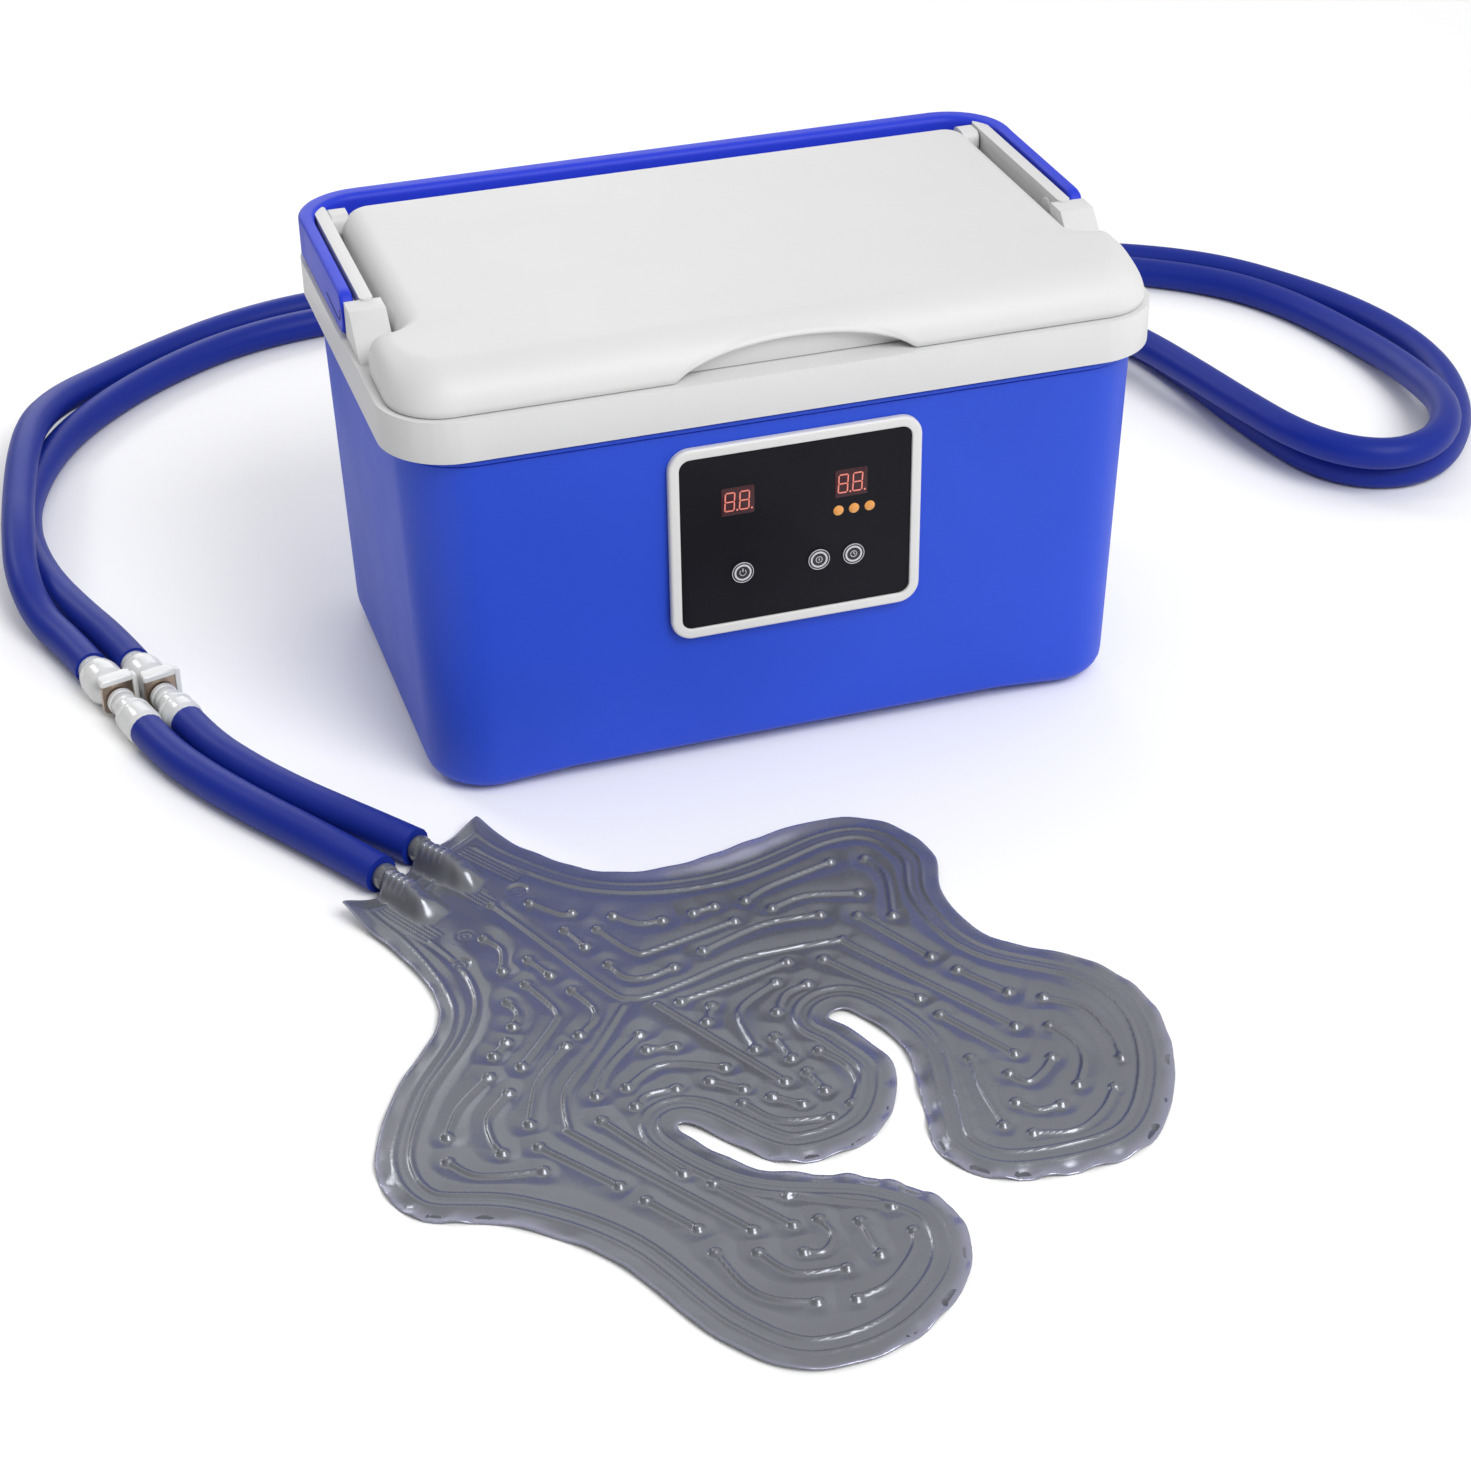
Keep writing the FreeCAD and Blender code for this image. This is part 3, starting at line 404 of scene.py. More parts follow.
supply_hose = hose("hose_supply", SUPPLY_ROUTE, "cooler", "main_hose_supply")
return_hose = hose("hose_return", RETURN_ROUTE, "cooler", "main_hose_return")
wrap_hose_a = hose("hose_wrap_a", PAD_ROUTE_A, "wrap", "pad_hose_a")
wrap_hose_b = hose("hose_wrap_b", PAD_ROUTE_B, "wrap", "pad_hose_b")


# -------- the couplings

def resting(shape):
    """The same shape with its lowest side pressed flat just above the floor."""
    points, faces = shape
    return [(x, y, max(z, 0.2)) for x, y, z in points], faces


def coupling(tag, start, end):
    """Socket, pressed latch, plug and sleeve along the line from one hose to the next."""
    start, end = np.array(start, float), np.array(end, float)
    axis, span = unit(end - start), float(np.linalg.norm(end - start))
    side = unit(np.cross(axis, (0, 0, 1)))

    def across(t, ring):
        """A flat ring stood across the axis, t along it."""
        return [start + axis * t + side * x + UPWARD * y for x, y, _ in ring]

    socket = round_corners([(-0.6, 4.3, 0), (-0.6, 6.9, 1), (3.0, 6.9, 1.5), (7.0, 9.2, 3.0), (12, 10.1, 4),
                            (20, 10.0, 4), (26.5, 7.4, 1.5), (29.6, 7.3, 1), (30.2, 5.3, 0.6), (35.0, 5.3, 0.6),
                            (35.0, 6.7, 0.6), (38, 6.7, 0.6), (38, 4.3, 0)])
    bore = [(18, 4.25), (17.5, 0.01)]
    socket_piece = piece(f"socket_{tag}", [resting(lathe([(-0.6, 0.01)] + list(socket) + bore, start, axis))],
                         FITTING, "cooler", (f"coupling_socket_{tag}",))
    # The latch plate stands across the axis, and its thumb tab leans over the socket, clear of it when pressed.
    plate = [across(t, rounded_ring(7.9 + grow, 7.7 + grow, 3.2 + grow, 0, (0, 1.6)))
             for t, grow in ((31.7, -0.7), (31.7, 0), (34.3, 0), (34.3, -0.7))]
    tab = []
    for t, half, low, high in ((26.6, 5.4, 9.6, 10.4), (27.2, 7.2, 9.6, 11.4), (29.4, 8.2, 9.5, 12.0),
                               (34.4, 8.4, 8.6, 12.0), (35.0, 7.8, 9.2, 11.4)):
        thick = (high - low) / 2
        tab.append(across(t, rounded_ring(half, thick, thick * 0.8, 0, (0, (high + low) / 2), arc=4, side=3)))
    flap = [across(t, rounded_ring(1.3 - shrink / 2, 8.3 - shrink, 1.0 - shrink / 2, 0, (-8.7, 3.1), arc=4, side=3))
            for t, shrink in ((30.6, 0.6), (31.0, 0.0), (34.8, 0.0), (35.2, 0.6))]
    latch_piece = piece(f"latch_{tag}", [skin(plate)], LATCH_STEEL, f"latch_{tag}",
                        (f"coupling_latch_{tag}",))
    tab_piece = piece(f"latch_tab_{tag}", [skin(tab), skin(flap)], FITTING, f"latch_{tag}")
    plug = round_corners([(20, 0.01, 0), (20, 3.9, 0.5), (38.2, 3.9, 0), (38.2, 6.0, 0.6), (41.5, 6.3, 0.8),
                          (42.5, 5.2, 0.5), (44.0, 5.2, 0.5), (44.6, 6.6, 0.6), (47.9, 6.6, 0.6), (47.9, 3.3, 0),
                          (span + 6, 3.3, 0), (span + 6, 0.01, 0)])
    plug_piece = piece(f"plug_{tag}", [lathe(plug, start, axis)], FITTING, "wrap",
                       (f"coupling_plug_{tag}",))
    sleeve = round_corners([(48.1, 3.5, 0), (48.1, 7.2, 0.7), (50.4, 8.9, 0.8), (52, 8.9, 0.5), (52.6, 8.3, 0.4),
                            (54, 8.3, 0.4), (54.6, 9.0, 0.8), (span - 3.2, 9.2, 1.0), (span + 0.4, 8.2, 0.6),
                            (span + 0.4, 3.5, 0)])
    sleeve_piece = piece(f"sleeve_{tag}", [resting(lathe(sleeve, start, axis, loop=True))], FITTING, "wrap",
                         (f"hose_sleeve_{tag}",))
    return [socket_piece, latch_piece, tab_piece], [plug_piece, sleeve_piece]


fittings_a, sleeves_a = coupling("a", RETURN_ROUTE[-1], PAD_ROUTE_A[0])
fittings_b, sleeves_b = coupling("b", SUPPLY_ROUTE[-1], PAD_ROUTE_B[0])


def barb(tag, route):
    """The ribbed spigot that the wrap's film is sealed over."""
    end, before = np.array(route[-1], float), np.array(route[-2], float)
    axis = unit(end - before)
    profile = [(-4, 0.01), (-4, 4.1), (0.2, 4.2), (0.6, 5.6), (2.4, 6.2), (4.6, 5.8), (5.4, 4.1)]
    for k in range(5):
        profile += [(6.6 + 3.4 * k, 3.8), (7.2 + 3.4 * k, 4.35), (8.8 + 3.4 * k, 4.0)]
    profile += [(24.5, 3.6), (25.5, 0.01)]
    piece(f"barb_{tag}", [lathe(profile, end, axis)], BARB, "wrap", (f"pad_barb_{tag}",), crease=50)


barb("a", PAD_ROUTE_A)
barb("b", PAD_ROUTE_B)


# -------- the cooler's body

def add_shell():
    """The blue box: a rolled foot, walls that widen upward, and a rim with a fine groove."""
    foot_x, foot_y, top_x, top_y, foot_z, rim_z = 167.0, 105.5, 171.5, 108.5, 2.0, 168.0
    foot_corner, rim_corner, fillet = 29, 32, 9.0
    wall_z = 11
    rings = [rounded_ring(150, 88, 14, 4.6), rounded_ring(151, 89, 15, 2.2)]
    for k in range(7):
        a = math.pi / 2 * k / 6
        inset = fillet * (1 - math.sin(a))
        rings.append(rounded_ring(foot_x - inset, foot_y - inset, foot_corner - inset,
                                  foot_z + fillet * (1 - math.cos(a))))
    for k in range(1, 12):
        t = k / 12
        x, y = foot_x + (top_x - foot_x) * t, foot_y + (top_y - foot_y) * t
        rings.append(rounded_ring(x, y, foot_corner + (rim_corner - foot_corner) * t, wall_z + (rim_z - wall_z) * t,
                                  bulge=0.5 * math.sin(math.pi * t)))
    rim = round_corners([(0, rim_z, 0), (0, 169.6, 0.3), (-0.9, 169.9, 0.2), (-0.9, 170.5, 0.2), (1.7, 170.8, 0.6),
                         (1.7, 172.8, 0.8), (-3.2, 172.8, 0.4), (-3.2, 158, 0)], arc_step=0.35)
    rings += [rounded_ring(top_x + out, top_y + out, rim_corner + out, z) for out, z in rim]
    # Between its four corner feet the box stands a little clear of the floor.
    rings = [[(x, y, max(z, 2) + 3.2 * float(smoothstep(110 - abs(x), 0, 5)) * max(0.0, 1 - (z - 2) / 10))
              for x, y, z in ring] for ring in rings]
    piece("shell", [skin(rings, (True, False))], BLUE, "cooler", ("outer_shell",))


def lid_outline():
    """The lid from above: a wide front, a waist between the blocks and rounded rear corners."""
    half = [(0, -109, 0), (174.5, -109, 25), (174.5, -49.5, 13), (158, -49.5, 9), (158, 93, 14)]
    corners = half + [(-x, y, r) for x, y, r in reversed(half[1:])]
    return resample(round_corners(corners, closed=True), 2.2, closed=True)


def add_lid():
    """The lid: a rolled edge, a crease over the finger grip at the front, and a closed underside."""
    line = lid_outline()
    ahead = np.roll(line, -2, axis=0) - np.roll(line, 2, axis=0)
    inward = np.stack([-ahead[:, 1], ahead[:, 0]], axis=1) / np.linalg.norm(ahead, axis=1)[:, None]
    x, y = line[:, 0], line[:, 1]
    front = 1 - smoothstep(y, -96, -66)
    crown = 11.0 + 9.0 * front
    top, bottom, edge = 213.2, 194.0, 1.6
    grip_centre, grip_half, grip_crease, grip_depth = 2, 54.0, 15.3, 12.0
    rise = top - bottom - edge
    share = np.clip(1 - ((x - grip_centre) / grip_half) ** 2, 0, 1)
    arch = np.where(y < -100, share ** 0.72, 0.0)
    rings = []

    def ring(offset, z):
        at = line + inward * np.broadcast_to(np.asarray(offset, float), x.shape)[:, None]
        rings.append(np.column_stack([at, np.broadcast_to(z, x.shape)]))

    def crown_at(angle):
        """(inset, z) of the lid's rolled edge, from 0 at the side to a right angle at the top."""
        return (crown * (1 - np.cos(angle)) ** 0.92, top - rise * (1 - np.sin(angle)) * (0.62 + 0.38 * front))

    # Over the finger grip the roll stops at a crease, and a rounded lip turns in under it to the grip's back wall.
    crease_angle = np.arcsin(np.clip(1 - (rise - grip_crease * arch) / rise, 0, 1)) * (arch > 0)
    crease_in, crease_z = crown_at(crease_angle)
    crease_z = np.where(arch > 0, crease_z, bottom + edge)
    ring(13.0, bottom)
    under = rings.pop()
    centre = np.array((0.0, -8.0))
    for t in (0.97, 0.5, 0.0):
        rings.append(np.column_stack([under[:, :2] + (centre - under[:, :2]) * t, under[:, 2]]))
    for offset, up in ((9.4, 0.0), (9.2, 3.0), (8.8, 7.0), (8.2, 10.2), (7.4, 11.6), (6.6, 12.0)):
        ring(offset, bottom + arch * up)
    lip_z = bottom + 0.12 + arch * grip_depth
    for up in (0.0, 0.12, 0.3, 0.52, 0.76):
        tuck = arch * (4.2 - 2.6 * math.sin(math.pi * up)) * (1 - up)
        ring(0.5 - 0.4 * up + tuck + crease_in * up, lip_z + (crease_z - lip_z) * up)
    for k in range(17):
        ring(*crown_at(crease_angle + (math.pi / 2 - crease_angle) * k / 16))
        if k == 0:
            rings[-1][:, 2] = np.maximum(rings[-1][:, 2], bottom + edge)
    inner = rings[-1]
    for t in (0.06, 0.14, 0.26, 0.42, 0.6, 0.8, 0.97):
        at = inner[:, :2] + (centre - inner[:, :2]) * t
        rings.append(np.column_stack([at, inner[:, 2] + 0.55 * math.sin(math.pi / 2 * t)]))
    piece("lid_top", [skin(rings)], WHITE, "lid", ("lid_shell",), crease=50)


def add_handle():
    """A flat strap: two deep arms and a thicker bar across the back."""
    half = [(174, -14, 0), (174, 105.5, 28)]
    plan = round_corners(half + [(-x, y, r) for x, y, r in reversed(half)], arc_step=0.12)
    line = resample(plan, 3.0)
    tangent = np.gradient(line, axis=0)
    tangent /= np.linalg.norm(tangent, axis=1)[:, None]
    run = np.concatenate([[0], np.cumsum(np.linalg.norm(np.diff(line, axis=0), axis=1))])
    centre_z = 203.0
    rings = []
    for point, along, s in zip(line, tangent, run):
        tip = min(s, run[-1] - s)
        bar = float(smoothstep(point[1], 70, 104))
        thick = 6.0 + 5.0 * bar
        height = 10.0 * max(0.0, 1 - (1 - min(1.0, (tip + 0.1) / 10.0)) ** 3) ** (1 / 3)
        across = np.array((along[1], -along[0]))
        edge = min(1.6 + 1.6 * bar, height * 0.9, thick / 2 * 0.95)
        section = rounded_ring(thick / 2, height, max(edge, 0.05), 0, arc=5, side=3)
        rings.append([np.array((*(point + across * u), centre_z + v)) for u, v, _ in section])
    piece("handle_strap", [skin(rings)], HANDLE_BLUE, "carry_handle", ("handle",), crease=50)


def add_hinge_lugs():
    """The lid's white lugs round the hinge pins, and the caps over the handle's pivots."""
    lugs = []
    for side in (-1, 1):
        rings = []
        for x, inset in ((154.0, 0.0), (161.9, 0.0), (162.5, 0.6)):
            section = rounded_ring(7.0 - inset, 5.6 - inset, 4.2 - inset, 0, arc=6, side=3)
            rings.append([(side * x, 86.0 + u, 205.8 + v) for u, v, _ in section])
        lugs.append(skin(rings))
    piece("hinge_lugs", lugs, WHITE, "lid")
    cap = [(0, 0.01), (0, 5.6), (0.5, 5.6), (0.8, 5.2), (0.8, 0.01)]
    caps = [lathe(cap, (side * 163.0, -4.0, 203.0), (-side, 0, 0), 32) for side in (-1, 1)]
    piece("pivot_caps", caps, WHITE, "cooler")


def add_handle_slots():
    """A thin dark line near the front end of each arm's outer face: painted shade laid on the face in place of a
    pressed slot.
    """
    line = smooth_line([(22, 200.2), (8, 199.2), (-5, 198.9), (-9.3, 201.2), (-9.9, 205.2)], 5)
    strokes = []
    for side in (-1, 1):
        for p, q in zip(line, line[1:]):
            points, faces = bar_shape(*p, *q, 0.9, 0.0, 0.25)
            strokes.append(([(side * (176.95 - y), x, z) for x, y, z in points], faces))
    piece("handle_slot_shades", strokes, SLOT_SHADE_BLUE, "carry_handle")


add_shell()
add_hinge_lugs()
softened("collar", "collar_band", WHITE, "cooler", 0.9)
add_lid()
add_handle()


# -------- the control panel

PANEL_CENTRE = (1.0, 115.5)


def facing(points, centre=PANEL_CENTRE):
    """Turns (across, up, out) points to the front wall: out is towards the user."""
    return [(centre[0] + u, -w, centre[1] + v) for u, v, w in points]


def add_panel():
    """The grey bezel and the black plate inside it."""
    rings = []
    for inset, out in round_corners([(0, 108.6, 0), (0, 111.6, 1.5), (4.9, 111.4, 1.2), (4.9, 110.2, 0)], arc_step=0.3):
        rings.append(facing(rounded_ring(59 - inset, 47.25 - inset, max(10 - inset, 4.5), out)))
    piece("bezel", [skin(rings, (False, False))], BEZEL, "cooler", ("panel_bezel",))
    plate = [facing(rounded_ring(54.2 - inset, 42.2 - inset, 5, out))
             for inset, out in ((0, 108.9), (0, 110.3), (0.4, 110.45))]
    piece("panel_face", [skin(plate)], PANEL, "cooler", ("panel_plate",))


def bar_shape(x0, z0, x1, z1, width, out_low, out_high):
    """A seven-segment stroke with pointed ends."""
    start, end = np.array((x0, z0), float), np.array((x1, z1), float)
    along = unit(end - start)
    side = np.array((-along[1], along[0])) * width / 2
    tips = along * width / 2
    flat = [start, start + tips + side, end - tips + side, end, end - tips - side, start + tips - side]
    return skin([facing([(p[0], p[1], out) for p in flat], (0, 0)) for out in (out_low, out_high)])


def add_display(name, node, x, z):
    """A red window with two seven-segment digits, each with its dot."""
    glass = [facing(rounded_ring(7.65 - i, 6.75 - i, 0.6, out), (x, z))
             for i, out in ((0, 109.5), (0, 110.55), (0.25, 110.7))]
    piece(name, [skin(glass)], DISPLAY, "cooler", (node,))
    strokes = []
    w, h, lean, width, gap = 2.15, 4.4, 0.05, 0.62, 0.14
    for centre in (-3.75, 3.05):
        corners = {k: (x + centre + a * w + b * h * lean, z + b * h) for k, (a, b) in
                   {"tl": (-1, 1), "tr": (1, 1), "ml": (-1, 0), "mr": (1, 0), "bl": (-1, -1), "br": (1, -1)}.items()}
        for a, b in (("tl", "tr"), ("ml", "mr"), ("bl", "br"), ("tl", "ml"), ("ml", "bl"), ("tr", "mr"), ("mr", "br")):
            p, q = np.array(corners[a]), np.array(corners[b])
            short = unit(q - p) * gap
            strokes.append(bar_shape(*(p + short), *(q - short), width, 110.68, 110.78))
        dot = [(0, 0.01), (0, 0.5), (0.1, 0.45), (0.1, 0.01)]
        strokes.append(lathe(dot, (x + centre + w + 1.25, -110.68, z - h), OUTWARD, 14))
    piece(name + "_digits", strokes, SEGMENT, "cooler")


def add_key(name, node, body, x, z, symbol):
    """A round key with two rings and a symbol: the opening of its small circle, and its strokes."""
    cap = round_corners([(0, 0.01, 0), (0, 5.2, 0), (1.1, 5.2, 0.3), (1.2, 4.6, 0.2), (1.2, 0.01, 0)])
    piece(name, [lathe(cap, (x, -109.9, z), OUTWARD, 48)], BLACK, body, (node,))
    marks = []
    for inner, outer in ((4.75, 5.1), (3.15, 4.05)):
        section = [(0, inner), (0.3, inner + 0.05), (0.3, outer - 0.05), (0, outer)]
        marks.append(lathe(section, (x, -111.0, z), OUTWARD, 48, loop=True))
    opening, strokes = symbol
    arc = [(1.5 * math.sin(a), 1.5 * math.cos(a)) for a in np.linspace(opening, 2 * math.pi - opening, 17)]
    for p, q in list(zip(arc, arc[1:])) + strokes:
        marks.append(bar_shape(x + p[0], z + p[1], x + q[0], z + q[1], 0.42, 111.05, 111.25))
    piece(name + "_ring", marks, KEY_RING, body)


add_handle_slots()
add_panel()
add_display("display_left_face", "display_left", -26.3, 134.2)
add_display("display_right_face", "display_right", 26.6, 134.2)
add_key("key_power_face", "key_power", "key_power_cap", -24.5, 98, (0.7, [((0, 0.3), (0, 2.2))]))
add_key("key_start_face", "key_start", "key_start_cap", 11.5, 98, (0.0, [((0, -0.7), (0, 0.7))]))
add_key("key_timer_face", "key_timer", "key_timer_cap", 28, 98, (0.0, [((0, 0), (0, 1.0)), ((0, 0), (0.8, -0.3))]))
lens = round_corners([(0, 0.01, 0), (0, 2.5, 0), (0.5, 2.5, 0.3), (0.9, 1.2, 0.6), (1.0, 0.01, 0)])
piece("lamp_lenses", [lathe(lens, (x, -110.0, 120.9), OUTWARD, 32) for x in (20.8, 28.2, 35.6)], AMBER, "cooler",
      ("indicator_leds",))


# -------- the wrap

# The pad from above: its outline, its neck, and each weld's middle line as x, y, x, y and so on.
PAD_EDGE = [
    (-227, -177), (-213, -205), (-203, -240), (-207, -265), (-232, -300), (-248, -340), (-240, -371), (-207, -387),
    (-176, -418), (-152, -468), (-126, -493), (-88, -491), (-55, -465), (-48, -431), (-69, -406), (-110, -387),
    (-131, -359), (-126, -355), (-98, -387), (-60, -382), (-40, -349), (-48, -320), (-54, -309), (-44, -308),
    (-32, -337), (-37, -371), (-41, -402), (-19, -424), (32, -424), (62, -390), (74, -346), (62, -310), (29, -280),
    (21, -246), (28, -215), (15, -185), (-15, -176), (-76, -189), (-113, -182), (-140, -154), (-156, -127)]
NECK_EDGE = [(-177, -139), (-210, -170)]
WELDS = [
    [-165, -190, -148, -231, -133, -266, -127, -272, -118, -273, -101, -269, -72, -261, -33, -262, -28, -268, 15,
    -340], [-118, -279, -84, -343], [-131, -276, -149, -299, -165, -317, -170, -328, -172, -343, -169, -350, -123,
    -420], [-149, -194, -138, -207, -134, -207], [-118, -215, -109, -224, -99, -225], [-85, -224, -75, -222], [-61,
    -222, -47, -215, -17, -207], [-140, -218, -135, -232], [-127, -222, -117, -242, -108, -244, -70, -235], [-89,
    -251, -59, -241, -34, -242], [-52, -231, -35, -227, -13, -233], [-129, -247, -125, -258, -116, -261, -104, -258],
    [-108, -281, -83, -276, -58, -269], [-67, -281, -84, -291, -89, -300, -89, -320], [-55, -286, -66, -290, -73,
    -300], [-97, -288, -102, -297], [-79, -315, -77, -330], [-174, -213, -169, -223, -172, -237], [-160, -233, -154,
    -246], [-165, -249, -158, -269, -161, -278, -180, -300], [-148, -259, -143, -273, -145, -281, -153, -288], [-175,
    -258, -173, -267, -177, -274], [-182, -283, -189, -290], [-194, -302, -209, -316, -218, -332], [-160, -293, -176,
    -311, -186, -335], [-189, -314, -200, -326, -202, -339, -200, -348], [-130, -296, -147, -311, -157, -327], [-130,
    -306, -119, -308], [-144, -326, -131, -318, -120, -319, -104, -327], [-144, -338, -138, -333, -126, -333], [-112,
    -333, -101, -342], [-221, -346, -214, -356, -204, -360, -188, -363], [-159, -342, -138, -382], [-186, -349, -163,
    -381], [-129, -391, -108, -422], [-156, -392, -142, -413], [-92, -350, -82, -358], [-74, -340, -71, -353], [-65,
    -329, -58, -341, -58, -354, -64, -364], [-104, -350, -94, -364, -74, -369], [-19, -248, 0, -285], [-43, -272, -27,
    -296, -15, -310], [-2, -210, 2, -225, -5, -253], [7, -297, 21, -318], [-11, -323, 8, -356], [33, -326, 46, -338,
    49, -358, 47, -372], [28, -344, 33, -357, 32, -369, 24, -382], [1, -367, 6, -374, 14, -370, 21, -363], [-10, -353,
    -13, -373, -13, -395], [-3, -384, 3, -391, 13, -391], [-4, -403, 12, -407, 26, -400, 37, -388], [-105, -406, -91,
    -413, -70, -424], [-98, -422, -96, -432, -102, -439, -109, -437], [-84, -428, -83, -447], [-67, -439, -71, -449,
    -85, -462, -99, -466], [-125, -432, -116, -446, -97, -450], [-140, -427, -135, -447, -127, -457, -113, -463]]
JUNCTION = (-126, -276)
GRID = 0.75
PULL = 0.36 * GRID


def nearest(lines, x, y):
    """For each grid point: distance to the lines, run along the nearest one, and the nearest place on it."""
    best, run_at = np.full(x.shape, 1e9), np.zeros(x.shape)
    near_x, near_y = np.zeros(x.shape), np.zeros(x.shape)
    for line in lines:
        run = 0.0
        for (x0, y0), (x1, y1) in zip(line, line[1:]):
            dx, dy = x1 - x0, y1 - y0
            length = math.hypot(dx, dy)
            if length < 1e-6:
                continue
            t = np.clip(((x - x0) * dx + (y - y0) * dy) / length ** 2, 0, 1)
            px, py = x0 + t * dx, y0 + t * dy
            gap = np.hypot(x - px, y - py)
            closer = gap < best
            best[closer] = gap[closer]
            run_at[closer] = run + t[closer] * length
            near_x[closer], near_y[closer] = px[closer], py[closer]
            run += length
    return best, run_at, near_x, near_y


def is_inside(line, x, y):
    inside = np.zeros(x.shape, bool)
    for (x0, y0), (x1, y1) in zip(line, np.roll(line, -1, axis=0)):
        if y0 == y1:
            continue
        crosses = ((y0 > y) != (y1 > y)) & (x < (x1 - x0) * (y - y0) / (y1 - y0) + x0)
        inside ^= crosses
    return inside


def drift(x, y, size, seed):
    """Smooth seeded noise from -1 to 1 with patches of about the given size."""
    draw = np.random.default_rng(seed)
    lattice = draw.uniform(-1, 1, (80, 80))
    u, v = (x + 400) / size, (y + 700) / size
    i, j = np.floor(u).astype(int), np.floor(v).astype(int)
    fu, fv = u - i, v - j
    fu, fv = fu * fu * (3 - 2 * fu), fv * fv * (3 - 2 * fv)
    i, j = i % 79, j % 79
    return ((lattice[i, j] * (1 - fu) + lattice[i + 1, j] * fu) * (1 - fv)
            + (lattice[i, j + 1] * (1 - fu) + lattice[i + 1, j + 1] * fu) * fv)


def along_line(x, y, start, end):
    """(run, offset) of each grid point along the line from start to end, and its length."""
    start, end = np.array(start, float), np.array(end, float)
    way = unit(end - start)
    return ((x - start[0]) * way[0] + (y - start[1]) * way[1],
            (y - start[1]) * way[0] - (x - start[0]) * way[1], float(np.linalg.norm(end - start)))


def rim_welds(x, y):
    """How far inside the edge the two rim welds run: further at the neck's left side and along the upper edge."""
    upper = np.exp(-((x + 52) / 44) ** 2) * smoothstep(y, -232, -205)
    neck = np.exp(-(np.hypot(x + 200, y + 238) / 26) ** 2)
    return 7.2 + 4.8 * upper - 1.8 * neck, 13.8 + 5.4 * upper + 3.6 * neck


def pulled(x, y, target_x, target_y, reach):
    """Points within reach of a target are moved onto it, so that a ridge runs along mesh edges."""
    close = np.hypot(target_x - x, target_y - y) < reach
    return np.where(close, target_x, x), np.where(close, target_y, y)


